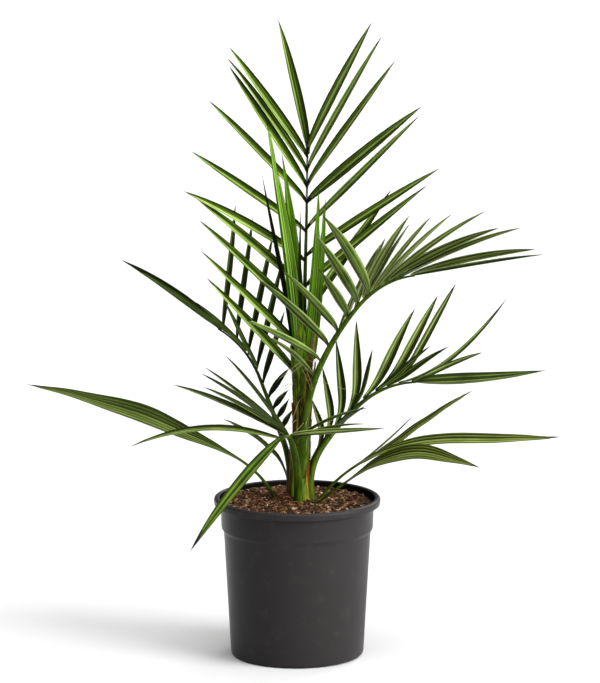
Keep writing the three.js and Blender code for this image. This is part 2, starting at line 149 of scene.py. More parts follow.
# Each frond: its foot, its rib's length, rise and heading from foot to tip, and radius. Each side
# gives its leaflets, lowest first: where they grow on the rib, their angle to it, their lift out of
# the frond's plane, size and width, and the leaflet that closes the side.
FRONDS = [
    {
        "name": "tall_frond", "nodes": ("rib",), "stalk": "dark", "rachis": "grey", "leaf": "deep",
        "foot": (7, 12, 300), "length": 337, "rise": (85, 80, 75, 88), "heading": 84,
        "radius": (3.6, 3, 2, 1.2), "stalk_ends": 0.8, "base": 0.05, "arch": 0.004,
        "right": {
            "reach": (0.38, 0.61, 0.81, 0.93), "spread": (33, 51, 60, 50, 57, 43, 38), "lift": (6, 42),
            "size": (190, 207, 211, 213), "width": (10, 10, 9.5, 9, 12, 9, 9),
            "end": {"spread": 35, "size": 200, "width": 12},
        },
        "left": {
            "reach": (0.14, 0.48, 0.81, 0.98), "spread": (45, 49, 51, 56, 68, 64, 52, 40, 42, 42),
            "lift": (31, 47), "size": (183, 193, 194, 188), "width": (9, 9.5, 9.5, 9.5, 10),
            "end": {"spread": 16, "size": 171, "width": 12},
        },
    },
    {
        "name": "right_frond", "nodes": ("stalk", "rib"), "stalk": "green", "rachis": "green",
        "leaf": "dusky", "foot": (8, -9, 276), "length": 295, "rise": (90, 65, 47, 10),
        "heading": (-17, -41), "radius": (4, 3.6, 2.4, 1.2), "stout": 1.4,
        "right": {
            "reach": (0.29, 0.52, 0.75), "spread": (65, 74, 68, 73, 60, 60, 60), "lift": (9, 67, 29),
            "size": (163, 130, 75, 180), "width": (5, 7.5, 10, 10, 11, 12.5, 13),
            "end": {"spread": 6, "size": 219, "width": 7, "arch": -0.005},
        },
        "left": {
            "reach": (0.53, 0.72, 0.8, 0.91), "spread": (49, 69, 80, 77, 84, 74, 61, 39, 12, 18),
            "lift": (29, 30, 17), "size": (117, 160, 141, 169),
            "width": (7, 7, 8, 14, 8, 8, 9, 11, 13, 10), "twist": 20,
            "end": {"spread": 18, "size": 159, "width": 10},
        },
    },
    {
        "name": "low_right_frond", "nodes": ("stalk", "rib"), "stalk": "green", "rachis": "dark",
        "leaf": "dim", "foot": (17, 4, ROOTED), "length": 228, "rise": (105, 52, 36, -2),
        "heading": (26, 15), "radius": (5, 4, 2.4, 1.2), "stout": 1.4, "stalk_ends": 0.42,
        "dark_tip": 0.18, "hook": 18, "hook_run": 0.09,
        "right": {
            "reach": (0.42, 0.81, 0.91), "spread": (62, 62, 42, 43), "lift": (16, 56, 49),
            "size": (95, 75, 81), "width": (9, 7, 10, 10),
            "end": {
                "spread": 6, "size": 168, "width": 15, "arch": -0.02, "twist": 22, "dark_tip": 0.1,
                "hook": ROOT_HOOK,
            },
        },
        "left": {
            "reach": (0.38, 0.57, 0.84, 0.98), "spread": (54, 51, 50, 50, 35, 43, 48, 36),
            "lift": (49, 48, 59), "size": (53, 100, 118, 144, 178),
            "width": (7.5, 9, 10, 11, 11, 9.5, 7.5, 5), "arch": 7 * (0.02,) + (-0.08,),
            "end": {"spread": 22, "size": 100, "width": 6, "hook": ROOT_HOOK},
        },
    },
    {
        "name": "left_frond", "nodes": ("stalk", "rib"), "stalk": "dark", "rachis": "dark",
        "leaf": "fresh", "foot": (-11, 7, ROOTED), "length": 248, "rise": (102, 68, 67, 27),
        "heading": (153, 164), "radius": (5, 4, 2.4, 1.2), "stout": 1.08,
        "right": {
            "leaf": "shade", "reach": (0.39, 0.54, 0.75, 0.98),
            "spread": (64, 62, 70, 65, 44, 46, 53, 57, 63), "lift": (17, 36, 37),
            "size": (34, 34, 165, 200), "width": (7.5, 7.5, 7.5, 7, 6.5),
            "end": {"spread": 6, "size": 155, "width": 11},
        },
        "left": {
            "reach": (0.82, 0.91), "spread": (53, 30), "lift": (35, 27), "size": (99, 70),
            "width": (8, 9), "hook": 24, "hook_run": 0.16, "end": {"spread": 36, "size": 134, "width": 12},
        },
    },
    {
        "name": "front_frond", "nodes": ("stalk", "rib"), "stalk": "green", "rachis": "green",
        "leaf": "dim", "foot": (2, -16, ROOTED), "length": 140, "rise": (89, 76, 49, -22),
        "heading": (-110, -108), "radius": (5, 4.6, 3.4, 1.6), "stout": 1.18, "dark_tip": 0.09,
        "twist": 45,
        "right": {
            "reach": (0.68, 0.84), "spread": (53, 77, 47, 37, 48), "lift": (39, 26, 25),
            "size": (130, 145, 128, 164), "width": (6, 7.5), "arch": 0.03,
            "end": {"spread": 50, "size": 204, "width": 6.5, "arch": 0.09},
        },
        "left": {
            "reach": (0.66, 0.69, 0.78), "spread": (82, 85, 99), "lift": (30, 16, 14, 12, 11),
            "size": (98, 92, 116), "width": (6, 9.5, 9.5), "arch": (0.07, 0.05, -0.01),
            "end": {
                "leaf": "fresh", "spread": -11, "size": 237, "width": 12.5, "arch": 0.03, "twist": -15,
                "dark_tip": 0.2,
            },
        },
    },
]


def table(keys, *rows):
    """Laws as rows, each of which gives the keys' values in turn."""
    return [dict(zip(keys.split(), row)) for row in rows]


# Undivided leaves and lobes, with their half thickness and half width from foot to tip. A lobe grows on
# another blade, at a share of that blade's length.
STALKED = (1.8, 1.6, 0.9, 0.6, 0.6, 0.6, 0.5, 0.4)
JUVENILES = table(
    "name leaf pleats foot length rise heading roll thick half",
    ("left_juvenile_leaf", "pleated", 3, (-26, 8, ROOTED), 360, (66, 27, 24, 18, 13), 188, 35, STALKED,
     (2.5, 2.2, 2.4, 7.5, 13.5, 16.5, 14.5, 9.5, 5, 0)),
    ("right_juvenile_leaf", "pale_pleated", 2, (26, 12, ROOTED), 332, (54, 30, 6, 1, 7), -8, -30, STALKED,
     (1.8, 1.7, 2.4, 5.5, 9, 10, 10, 8.5, 5, 0)),
    ("right_juvenile_lobe", "pale_pleated", 2, ("right_juvenile_leaf", 0.2), 176, (27, 37, 30), 4, -30,
     (0.6,), (0.8, 3, 5.5, 6.2, 5.6, 4.4, 3, 0)),
    ("right_juvenile_thin_lobe", "pale_pleated", 1, ("right_juvenile_leaf", 0.15), 116, (32, 46), 12, -30,
     (0.6,), (0.8, 1.2, 1.5, 1.4, 1, 0)),
    ("front_juvenile_leaf", "pale_pleated", 3, (19, -20, ROOTED), 252, (37, 38, 24, -5, -13), -26, -38,
     STALKED, (1.7, 1.6, 1.6, 4, 9, 12.5, 12.5, 10, 5, 0)),
    ("back_juvenile_leaf", "pleated", 2, (-12, 26, ROOTED), 142, (100, 40, 20), 166, 20, STALKED,
     (1.7, 1.6, 2, 4, 4.5, 4, 3, 0)),
)
# Unopened spears on the trunk's top: the tone of each fold, whose light tone is a painted highlight,
# which fold is tallest, and the half width.
SPEARS = table(
    "name tones tallest foot length rise heading roll half",
    ("left_spear", (0, 1, 2, 1, 0), 1, (3, -5), 296, (88, 81, 79), 180, 90, (7, 9, 9.5, 7.5, 5, 0)),
    ("left_back_spear", (1, 0, 1), 1, (3.5, 5.5), 250, (89, 85, 81), 180, 90, (6, 7.5, 7.5, 6.5, 4.5, 0)),
    ("right_spear", (1, 0, 1, 1), 1, (13, 0), 207, (84, 86, 90), 0, -90, (5.6, 6.6, 6.6, 5.5, 4, 0)),
    ("right_back_spear", (0, 1, 0), 2, (17, 6), 191, (83, 86, 84), 0, -90, (5.6, 6.4, 6.4, 5.5, 4, 0)),
    ("left_spear_leaflet", (0,), 0, (-3.5, 2), 226, (85, 78, 79), 170, 90, (1.8, 2.6, 2.8, 2.3, 1.4, 0)),
    ("front_spear_leaflet", (0,), 0, (9, -9), 181, (84, 89, 93), 190, 90, (1.6, 2.1, 2.2, 1.8, 1.1, 0)),
)
# Leaf sheaths round the trunk: the heading each faces, half the angle it wraps, the height of its foot
# and tip in millimetres, how far it stands off the trunk, and the angle its foot drifts by. Two still
# clasp the foot of a stalk, so they stand off further towards their tips.
SHEATHS = table(
    "tone faces wrap low high off drift",
    ("rust", -165, 36, 192, 268, 4.5, 0), ("tan", -150, 8, 206, 268, 6, -12),
    ("green", -140, 10, 196, 252, 5.4, 8), ("olive", -45, 48, 192, 292, 0.6, 0),
    ("brown", 60, 70, 192, 300, 0.5, 0), ("brown", 165, 60, 215, 345, 0.6, 0),
    ("lime", -105, 62, 245, 432, 0.9, -10), ("straw", -78, 20, 290, 362, 2.3, 12),
    ("brown", -104, 9, 250, 334, 2.1, -14), ("rust", -88, 6, 286, 330, 2.6, 10),
    ("tan", -30, 30, 318, 418, 1.6, -45), ("olive", -168, 40, 280, 396, 1.0, 0),
    ("rust", -172, 22, 262, 322, 1.8, 12), ("green", 95, 60, 270, 398, 0.8, 0),
    ("brown", 10, 30, 250, 372, 1.2, -10), ("rust", -40, 14, 200, 246, 1.6, 16),
    ("green", -79, 52, 226, 302, (0.6, 3, 8.6, 9.4), 0),
    ("dark", 85, 46, 262, 322, (0.5, 1.6, 4.8, 5.4), 0),
    ("straw", -126, 15, 262, 332, 2.2, 14), ("rust", -142, 9, 272, 318, 2.9, -12),
)

# Studio lights: each sun's strength, the disc that softens it, its heading and its rise, then a side box.
SUNS = (("top", 3.3, 60, -80, 78), ("key", 4.6, 34, -30, 23), ("rim", 1.2, 30, 60, 35))
SIDE_BOX = {"size": (0.5, 1.3), "energy": 16, "at": (1.9, -0.5, 0.75), "heading": 75}
WORLD_SHADE = (("From Min", -1), ("From Max", 1), ("To Min", 0.1), ("To Max", 0.38))
FLOOR_HALF = 60
FLOOR_DROP = 0.0004
CAMERA_AT = (0, -4.62, 1.215)
CAMERA_SEES = (0.0035, 0, 0.3998)
LENS = 197.8
SENSOR = 36
FAR_CLIP = 200


# ---- finishes ----


def colour(code):
    """A screen colour such as '#3b3937' as the linear colour and alpha that shaders take."""
    screen = np.array([int(code[i : i + 2], 16) / 255 for i in (1, 3, 5)])
    linear = np.where(screen <= 0.04045, screen / 12.92, ((screen + 0.055) / 1.055) ** 2.4)
    return (*linear, 1.0)


class Signal:
    """What a shader socket carries. Arithmetic on it adds Math nodes."""

    def __init__(self, finish, socket):
        self.finish = finish
        self.socket = socket

    def worked(self, operation, *others):
        """A Math node's result from this value and any others."""
        return self.finish.add("Math", {"operation": operation}, dict(enumerate((self, *others))))

    def __add__(self, other):
        return self.worked("ADD", other)

    def __mul__(self, other):
        return self.worked("MULTIPLY", other)

    __radd__ = __add__
    __rmul__ = __mul__


class Finish:
    """A material: one principled shader, and the nodes that feed it."""

    def __init__(self, name, roughness, specular=0.5):
        self.material = bpy.data.materials.new(name)
        self.material.use_nodes = True
        self.tree = self.material.node_tree
        self.shader = self.tree.nodes["Principled BSDF"]
        self.feed("Roughness", roughness)
        self.feed("Specular IOR Level", specular)

    def add(self, kind, settings=(), sockets=(), output=0):
        """Adds a node of one kind: its settings first, then its sockets' values or links."""
        node = self.tree.nodes.new("ShaderNode" + kind)
        for setting, value in dict(settings).items():
            setattr(node, setting, value)
        for socket, value in dict(sockets).items():
            if isinstance(value, Signal):
                self.tree.links.new(value.socket, node.inputs[socket])
            else:
                node.inputs[socket].default_value = value
        return Signal(self, node.outputs[output])

    def feed(self, socket, value):
        """Gives one of the shader's sockets a value or a link."""
        if isinstance(value, Signal):
            self.tree.links.new(value.socket, self.shader.inputs[socket])
        else:
            self.shader.inputs[socket].default_value = value

    def tone(self, share, deep, fresh):
        """The base colour: a deep one turning into a fresh one as the share goes from 0 to 1."""
        mixed = self.add("Mix", {"data_type": "RGBA"}, {0: share, 6: deep, 7: fresh}, 2)
        self.feed("Base Color", mixed)

    def eased(self, value, low, high):
        """0 below low, 1 above high and smooth between them."""
        return self.add(
            "MapRange", {"interpolation_type": "SMOOTHSTEP"}, {"Value": value, 1: low, 2: high}
        )

    def noise(self, scale, detail=2.0, stretch=(1.0, 1.0, 1.0)):
        """Soft noise about 0.5, with so many features to the metre, at the piece's own place."""
        place = self.add("TexCoord", output="Object")
        place = self.add("Mapping", (), {"Vector": place, "Scale": stretch})
        return self.add("TexNoise", (), {"Vector": place, "Scale": scale, "Detail": detail})

    def span(self, axis):
        """The piece's own map: axis 0 runs along the piece, in metres, and axis 1 across or round it."""
        place = self.add("UVMap", {"uv_map": SPAN}, output="UV")
        return self.add("SeparateXYZ", (), {"Vector": place}, axis)

    def relief(self, height, depth):
        """Raises the surface by the height, from 0 to 1, times a depth in metres."""
        normal = self.add("Bump", (), {"Height": height, "Strength": 1.0, "Distance": depth})
        self.feed("Normal", normal)


SPAN = "span"  # the map that runs along and across a piece
GREEN_GLOSS = (0.85, 1.0, 0.4, 1.0)  # the tint of a plant's gloss


def veined(name, deep, fresh, roughness, lines, specular=0.1):
    """Leaf green: long streaks from a deep to a fresh tone, clouded, with fine parallel veins that
    both darken and groove it. Veins are the sine of the place across times twice pi times lines."""
    finish = Finish(name, roughness, specular)
    finish.feed("Specular Tint", GREEN_GLOSS)
    across, length = finish.span(1), finish.span(0)
    vein = (across * (2 * math.pi * lines)).worked("SINE") * 0.5 + 0.5
    where = finish.add("CombineXYZ", (), {0: length * 9.0, 1: across * 7.0})
    streak = finish.add("TexNoise", (), {"Vector": where, "Scale": 1.0, "Detail": 3.0})
    share = finish.eased(streak * 0.7 + finish.noise(26.0, 3.0) * 0.5 + vein * 0.12, 0.42, 0.86)
    finish.tone(share, colour(deep), colour(fresh))
    finish.feed("Roughness", finish.noise(60.0) * 0.18 + (roughness - 0.09))
    finish.relief(vein * 0.6 + finish.noise(420.0, 3.0) * 0.4, 0.00022)
    return finish.material


def fibrous(name, deep, fresh, roughness=0.75, fine=900.0, depth=0.0005):
    """Dry or green stem fibre: thin strands along the stem, from a deep to a fresh tone."""
    finish = Finish(name, roughness, 0.1)
    finish.feed("Specular Tint", GREEN_GLOSS)
    strand = finish.noise(fine, 3.0, (1.0, 1.0, 0.06))
    patch = finish.noise(70.0, 3.0, (1.0, 1.0, 0.35))
    finish.tone(finish.eased(strand * 0.55 + patch * 0.6, 0.44, 0.76), colour(deep), colour(fresh))
    finish.relief(strand, depth)
    return finish.material


def earthy(name, deep, fresh, roughness=0.95):
    """Bark and coir: clotted colour from a deep to a fresh tone with a coarse grain."""
    finish = Finish(name, roughness, 0.15)
    finish.tone(finish.eased(finish.noise(260.0, 4.0), 0.36, 0.64), colour(deep), colour(fresh))
    finish.relief(finish.noise(900.0, 3.0), 0.0008)
    return finish.material


def moulded(name, clean, dusty, roughness=0.36, specular=0.1):
    """Black moulded plastic: a fine grain, faint scuffs that dull it, and a little dust."""
    finish = Finish(name, roughness, specular)
    scuff = finish.eased(finish.noise(14.0, 5.0, (1.0, 1.0, 0.25)), 0.46, 0.72)
    dust = finish.eased(finish.noise(60.0, 6.0), 0.52, 0.8)
    finish.tone(dust * 0.5, colour(clean), colour(dusty))
    finish.feed("Roughness", scuff * 0.16 + finish.noise(300.0) * 0.06 + (roughness - 0.06))
    finish.relief(finish.noise(1500.0, 2.0), 0.00012)
    return finish.material


def studio_floor():
    """A matt pale studio floor, with the faintest mottle."""
    finish = Finish("studio_floor", 0.9, 0.0)
    finish.tone(finish.noise(3.0, 2.0), (0.55, 0.55, 0.55, 1.0), (0.58, 0.58, 0.58, 1.0))
    return finish.material


POT_FINISH = moulded("moulded_black", "#272525", "#363332")
# painted shade: the pot's inside is painted near black, as little light reaches into it
POT_INSIDE = moulded("inside_painted_shade", "#0e0d0c", "#181512", 0.85, 0.0)
# painted light and shade: the dark and light streaks are in part painted shade and painted highlights, laid
# out by LIT and SHADED
LEAF_COLOURS = {  # by kind of leaf: the deep and fresh tone of its dark, mid and light streaks
    "deep": (("#18240a", "#304610"), ("#34480f", "#5a7519"), ("#62802f", "#a8c06c")),
    "dusky": (("#111704", "#222b09"), ("#1d2508", "#374011"), ("#3e4b1c", "#6e7a42")),
    "dim": (("#0e1404", "#1c2407"), ("#1c2408", "#323c11"), ("#40501f", "#78884a")),
    "fresh": (("#1a2606", "#34460e"), ("#2e420c", "#527016"), ("#526a24", "#8aa048")),
    "shade": (("#0a0f04", "#141b07"), ("#0f1606", "#1c250b"), ("#283512", "#485a26")),
    "pleated": (("#0f1504", "#1a2208"), ("#222c09", "#374311"), ("#3c481a", "#5f6d35")),
    "pale_pleated": (("#181d08", "#27300e"), ("#333c12", "#4e591c"), ("#566229", "#84904f")),
}
LEAF_GLOSS = {"shade": 0.02}
LEAF_TONES = {
    name: [
        veined(f"{name}_blade_{i}", *tones, 0.38, 9, LEAF_GLOSS.get(name, 0.1))
        for i, tones in enumerate(streaks)
    ]
    for name, streaks in LEAF_COLOURS.items()
}
DARK_BASE = veined("leaf_base_dark", "#0e1505", "#1e2a0a", 0.5, 3)
LEAF_BASES = {
    "deep": DARK_BASE,
    "dusky": veined("leaf_base_pale", "#56661e", "#828e42", 0.5, 3),
    "dim": DARK_BASE,
    "fresh": veined("leaf_base_green", "#28380c", "#465818", 0.5, 3),
}
UNDERSIDE = veined("leaf_underside", "#18230a", "#526a28", 0.55, 4, 0.05)
DARK_UNDERSIDE = veined("leaf_underside_dark", "#080c03", "#141a08", 0.6, 9, 0.02)
MIDRIB = veined("leaf_midrib", "#4c5c1e", "#7c8c3c", 0.42, 2)
MARGIN = veined("leaf_margin", "#0c1204", "#1c2808", 0.45, 5)
PALE_MARGIN = veined("leaf_margin_pale", "#5a683a", "#88945e", 0.5, 5)
DARK_TIP = veined("leaf_tip", "#0a0c05", "#17190b", 0.55, 5, 0.05)
DRY_TIP = veined("dry_tip", "#2a2012", "#5c4828", 0.7, 5)
# spear_light is the pale sheen along a fold: a painted highlight
LEAF_TONES["spear"] = [
    veined("spear_dark", "#2a480a", "#42680c", 0.4, 3),
    veined("spear_mid", "#426c0c", "#609016", 0.4, 3),
    veined("spear_light", "#6c9030", "#a6be6c", 0.4, 3),
]
SPEAR_MIDRIB = veined("spear_midrib", "#527416", "#7c9438", 0.45, 2)
STEM_TONES = {
    "green": fibrous("stem_green", "#223606", "#42580c", 0.42, 500.0, 0.0002),
    "dark": fibrous("stem_dark_green", "#1a2606", "#2e3e0a", 0.45, 500.0, 0.0002),
    "grey": fibrous("rib_grey", "#585558", "#8a868c", 0.5, 500.0, 0.0002),
    "olive": fibrous("stem_olive", "#3c460c", "#6c7a1e", 0.5, 500.0, 0.0003),
    "lime": fibrous("sheath_green", "#2c4a08", "#7c9224", 0.5, 600.0, 0.0003),
    "brown": fibrous("sheath_brown", "#24180a", "#54401e", 0.8),
    "tan": fibrous("sheath_tan", "#3c2e12", "#746032", 0.75),
    "straw": fibrous("sheath_straw", "#4e4c12", "#a0903a", 0.7),
    "rust": fibrous("sheath_rust", "#32180a", "#683818", 0.85),
}
SOIL_TONES = (
    earthy("soil_dark", "#160e08", "#332116"),
    earthy("bark_brown", "#2f1e12", "#5a3c26"),
    earthy("bark_red", "#3c1d0c", "#663c20"),
    earthy("bark_tan", "#604630", "#8c6e4c"),
    earthy("bark_pale", "#8e7860", "#b8a48c"),
)
HAIR = fibrous("pale_hair", "#767042", "#aaa878", 0.7)


# ---- meshes ----


def put(name, data):
    """A new object in the scene."""
    made = bpy.data.objects.new(name, data)
    bpy.context.scene.collection.objects.link(made)
    return made


class Skin:
    """Gathers closed shells into one mesh. A shell is a grid of points, [row, column, xyz], whose
    columns meet round it, and each of its end rows is closed on a pole at the row's middle."""

    def __init__(self, *finishes):
        self.finishes = finishes
        self.points = []
        self.corners = {3: [], 4: []}
        self.spans = {3: [], 4: []}
        self.tones = {3: [], 4: []}
        self.keen = []
        self.count = 0

    def add(self, grid, tone=0, rows_at=None, columns_at=None, keen=()):
        """Adds shells [..., row, column, xyz]. tone gives each face's finish, [..., row, column], and
        rows_at and columns_at its map. keen lists columns that keep a sharp edge. A shell that comes
        out inside out, by the sign of its volume, has its faces turned."""
        grid = grid.reshape(-1, *grid.shape[-3:])
        shells, rows, columns = grid.shape[:3]
        rows_at = np.linspace(0, 1, rows) if rows_at is None else rows_at
        columns_at = np.linspace(0, 1, columns + 1) if columns_at is None else columns_at
        tone = np.broadcast_to(tone, (shells, rows - 1, columns))
        poles = grid[:, [0, -1]].mean(2)
        points = np.concatenate([grid.reshape(shells, -1, 3), poles], 1)

        row, column = (index.reshape(-1, 1) for index in np.indices((rows - 1, columns)))
        row, column = row + np.array([0, 0, 1, 1]), column + np.array([0, 1, 1, 0])
        quads = row * columns + column % columns
        quad_spans = np.stack([rows_at[row], columns_at[column]], -1)
        middle = (columns_at[:-1] + columns_at[1:]) / 2
        fans, fan_spans = [], []
        for pole, row, steps in ((0, 0, [1, 0]), (1, rows - 1, [0, 1])):
            column = np.arange(columns)[:, None] + np.array(steps)
            hub = np.full(columns, rows * columns + pole)
            fans.append(np.column_stack([hub, row * columns + column % columns]))
            across = np.column_stack([middle, columns_at[column]])
            fan_spans.append(np.stack([np.full((columns, 3), rows_at[row]), across], -1))
        fans, fan_spans = np.concatenate(fans), np.concatenate(fan_spans)

        first, second, third, fourth = np.moveaxis((points - points.mean(1, keepdims=True))[:, quads], 2, 0)
        volume = (first * (np.cross(second, third) + np.cross(third, fourth))).sum((1, 2))
        turned_over = volume < 0
        base = self.count + np.arange(shells) * (rows * columns + 2)
        for sides, faces, spans in ((4, quads, quad_spans), (3, fans, fan_spans)):
            faces = base[:, None, None] + faces
            spans = np.broadcast_to(spans, (shells, *spans.shape)).copy()
            faces[turned_over] = faces[turned_over][:, :, ::-1]
            spans[turned_over] = spans[turned_over][:, :, ::-1]
            self.corners[sides].append(faces.reshape(-1, sides))
            self.spans[sides].append(spans.reshape(-1, sides, 2))
        self.tones[4].append(tone.reshape(-1))
        self.tones[3].append(np.concatenate([tone[:, 0], tone[:, -1]], 1).reshape(-1))
        sharp = np.zeros((shells, rows * columns + 2), bool)
        sharp[:, :-2].reshape(shells, rows, columns)[:, :, list(keen)] = True
        self.keen.append(sharp.reshape(-1))
        self.points.append(points.reshape(-1, 3))
        self.count += points.shape[0] * points.shape[1]

    def add_blade(self, grid, places, tone, rows_at):
        """Adds shells whose columns lie at places across them, from -1 to 1, and whose margins are keen."""
        self.add(grid, tone, rows_at, np.append((places + 1) / 2, 0), (0, len(places) // 2))

    def mesh(self, name, smooth=True):
        """The gathered shells as one mesh."""
        mesh = bpy.data.meshes.new(name)
        points = np.concatenate(self.points)
        corners = [np.concatenate(self.corners[sides]) for sides in (4, 3)]
        spans = [np.concatenate(self.spans[sides]).reshape(-1, 2) for sides in (4, 3)]
        counts = [len(faces) for faces in corners]
        mesh.vertices.add(len(points))
        mesh.vertices.foreach_set("co", points.astype(np.float32).ravel())
        loops = np.concatenate([faces.ravel() for faces in corners])
        mesh.loops.add(len(loops))
        mesh.loops.foreach_set("vertex_index", loops.astype(np.int32))
        mesh.polygons.add(sum(counts))
        starts = np.concatenate([np.arange(counts[0]) * 4, counts[0] * 4 + np.arange(counts[1]) * 3])
        mesh.polygons.foreach_set("loop_start", starts.astype(np.int32))
        tones = np.concatenate([*self.tones[4], *self.tones[3]])
        mesh.polygons.foreach_set("material_index", tones.astype(np.int32))
        mesh.polygons.foreach_set("use_smooth", np.full(sum(counts), smooth))
        mesh.update(calc_edges=True)
        layer = mesh.uv_layers.new(name=SPAN)
        layer.uv.foreach_set("vector", np.concatenate(spans).astype(np.float32).ravel())
        ends = np.zeros(len(mesh.edges) * 2, np.int32)
        mesh.edges.foreach_get("vertices", ends)
        sharp = np.concatenate(self.keen)[ends.reshape(-1, 2)].all(1)
        if sharp.any():
            mesh.attributes.new("sharp_edge", "BOOLEAN", "EDGE").data.foreach_set("value", sharp)
        for finish in self.finishes:
            mesh.materials.append(finish)
        return mesh

    def piece(self, name, slot, *nodes, smooth=True):
        """The gathered shells as one piece: it rides on the one body and stands for its CAD nodes, which it
        hides. Its slot is not used."""
        piece = put(name, self.mesh(name, smooth))
        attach(piece, "root")
        if nodes:
            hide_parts(*nodes)
        return piece


# ---- curves ----


def once_round(count):
    """Even headings once round."""
    return np.linspace(0, 2 * math.pi, count, endpoint=False)


def along(values, share):
    """Values at even steps from 0 to 1, read between the steps in straight lines."""
    values = np.atleast_1d(np.asarray(values, float))
    return np.interp(share, np.linspace(0, 1, len(values)), values)


def smoothly(values, share):
    """Values at even steps from 0 to 1, joined by a curve whose slope at each step is half the
    difference of its neighbours (Catmull and Rom's cubic)."""
    values = np.asarray(values, float)
    if len(values) == 1:
        return np.full(np.shape(share), values[0])
    padded = np.concatenate([[2 * values[0] - values[1]], values, [2 * values[-1] - values[-2]]])
    place = np.clip(share, 0, 1) * (len(values) - 1)
    low = np.minimum(place.astype(int), len(values) - 2)
    t = place - low
    a, b, c, d = (padded[low + i] for i in range(4))
    return b + t * ((c - a) + t * ((2 * a - 5 * b + 4 * c - d) + t * (3 * (b - c) + d - a))) / 2


def unit(vectors):
    """Vectors at a length of 1."""
    return vectors / np.linalg.norm(vectors, axis=-1, keepdims=True)


def turned(vector, axis, angle):
    """A vector turned about a unit axis: v cos a + (axis x v) sin a + axis (axis . v)(1 - cos a)."""
    angle = np.asarray(angle, float)[..., None]
    lengthwise = (vector * axis).sum(-1, keepdims=True)
    return (
        vector * np.cos(angle) + np.cross(axis, vector) * np.sin(angle)
        + axis * lengthwise * (1 - np.cos(angle))
    )


def curve_of(law, steps):
    """A limb's centre line, in metres. It leaves its foot and turns by its laws of rise and heading:
    each station is the one before plus the step's length times the mean of the two directions.
    `across` points to the right of `ahead`, and `up` is square to both, after the roll."""
    share = np.linspace(0, 1, steps + 1)
    rise = np.radians(along(law["rise"], share))
    heading = np.radians(along(law["heading"], share))
    ahead = np.stack([
        np.cos(rise) * np.cos(heading), np.cos(rise) * np.sin(heading), np.sin(rise)
    ], -1)
    up = np.stack([
        -np.sin(rise) * np.cos(heading), -np.sin(rise) * np.sin(heading), np.cos(rise)
    ], -1)
    strides = (ahead[1:] + ahead[:-1]) / 2 * law["length"] * MM / steps
    at = np.array(law["foot"]) * MM + np.concatenate([np.zeros((1, 3)), np.cumsum(strides, 0)])
    roll = -math.radians(law.get("roll", 0))
    across = turned(np.cross(ahead, up), ahead, np.full(steps + 1, roll))
    up = turned(up, ahead, np.full(steps + 1, roll))
    return {"share": share, "at": at, "ahead": ahead, "across": across, "up": up}


def frame_at(curve, share):
    """A curve's place, direction and frame at any shares of its length."""
    def read(key):
        return np.stack([np.interp(share, curve["share"], curve[key][:, i]) for i in range(3)], -1)

    return read("at"), unit(read("ahead")), unit(read("across")), unit(read("up"))


def stepped(count, crowding=0.5):
    """Shares from 0 to 1 that lie closer together at both ends: even steps mixed with a half cosine."""
    even = np.linspace(0, 1, count)
    return even * (1 - crowding) + (1 - np.cos(math.pi * even)) / 2 * crowding


def rings_at(at, across, up, sideways, raised):
    """Points about each place of a limb: so far to its side and so far up."""
    at, across, up = at[..., None, :], across[..., None, :], up[..., None, :]
    return at + across * sideways[..., None] + up * raised[..., None]


# ---- blades ----

HALF_ACROSS = np.array([0.05, 0.14, 0.28, 0.45, 0.62, 0.8, 1])
ACROSS = np.concatenate([-HALF_ACROSS[::-1], [0], HALF_ACROSS])
LEAFLET_ROWS = stepped(26, 0.6)
UNDER, RIDGE, BASE, DRY, EDGE, POINT = range(3, 9)  # a leaf's finishes, after its three streaks
# Streaks across a leaflet's half, from beside its midrib out to its margin: 0 dark, 1 mid, 2 light and
# 7 as dark as the margin. They hold painted light and shade: LIT is the half painted lighter, as if it
# caught the light, with painted highlights in its light streaks, and SHADED the other, painted darker as
# painted shade. FOLDS is a spear's leaflet by its tone, with a painted highlight in its light streak and
# painted shade at its margins, and PLEAT one pleat of an undivided leaf, from its crest into its fold and
# out: a painted highlight on the crest and painted shade in the fold.
LIT = np.array([
    (1, 2, 1, 2, 1, 7), (0, 1, 2, 2, 1, 2), (2, 2, 1, 1, 1, 7), (1, 1, 2, 2, 0, 2), (0, 2, 2, 1, 1, 7),
])
SHADED = np.array([(0, 0, 1, 0, 7, 7), (1, 0, 0, 0, 1, 7), (0, 7, 0, 1, 0, 7), (0, 1, 0, 0, 7, 7)])
FOLDS = np.array([(0, 0, 1, 1, 0, 0), (1, 1, 1, 2, 1, 7), (2, 2, 1, 1, 1, 0)])
PLEAT = np.array([2, 1, 7, 1])


def loop_across(across):
    """The places across a blade as a loop: over its upper face and back under it. Gives each
    column's place, and 1 on the upper face or -1 on the lower."""
    places = np.concatenate([across, across[-2:0:-1]])
    faces = np.concatenate([np.ones(len(across)), -np.ones(len(across) - 2)])
    return places, faces


def between(places, faces):
    """The middle of each face across a blade, and whether it lies on the upper face."""
    following = np.roll(places, -1)
    upper = (faces > 0) & (np.roll(faces, -1) > 0) | (np.abs(following) > 0.99) & (faces > 0)
    return (places + following) / 2, upper


def bands(places, faces):
    """The middle of each face across a leaflet, and which streak it lies in, from the midrib out."""
    middle = between(places, faces)[0]
    return middle, np.clip(np.searchsorted(HALF_ACROSS, np.abs(middle)) - 1, 0, len(HALF_ACROSS) - 2)


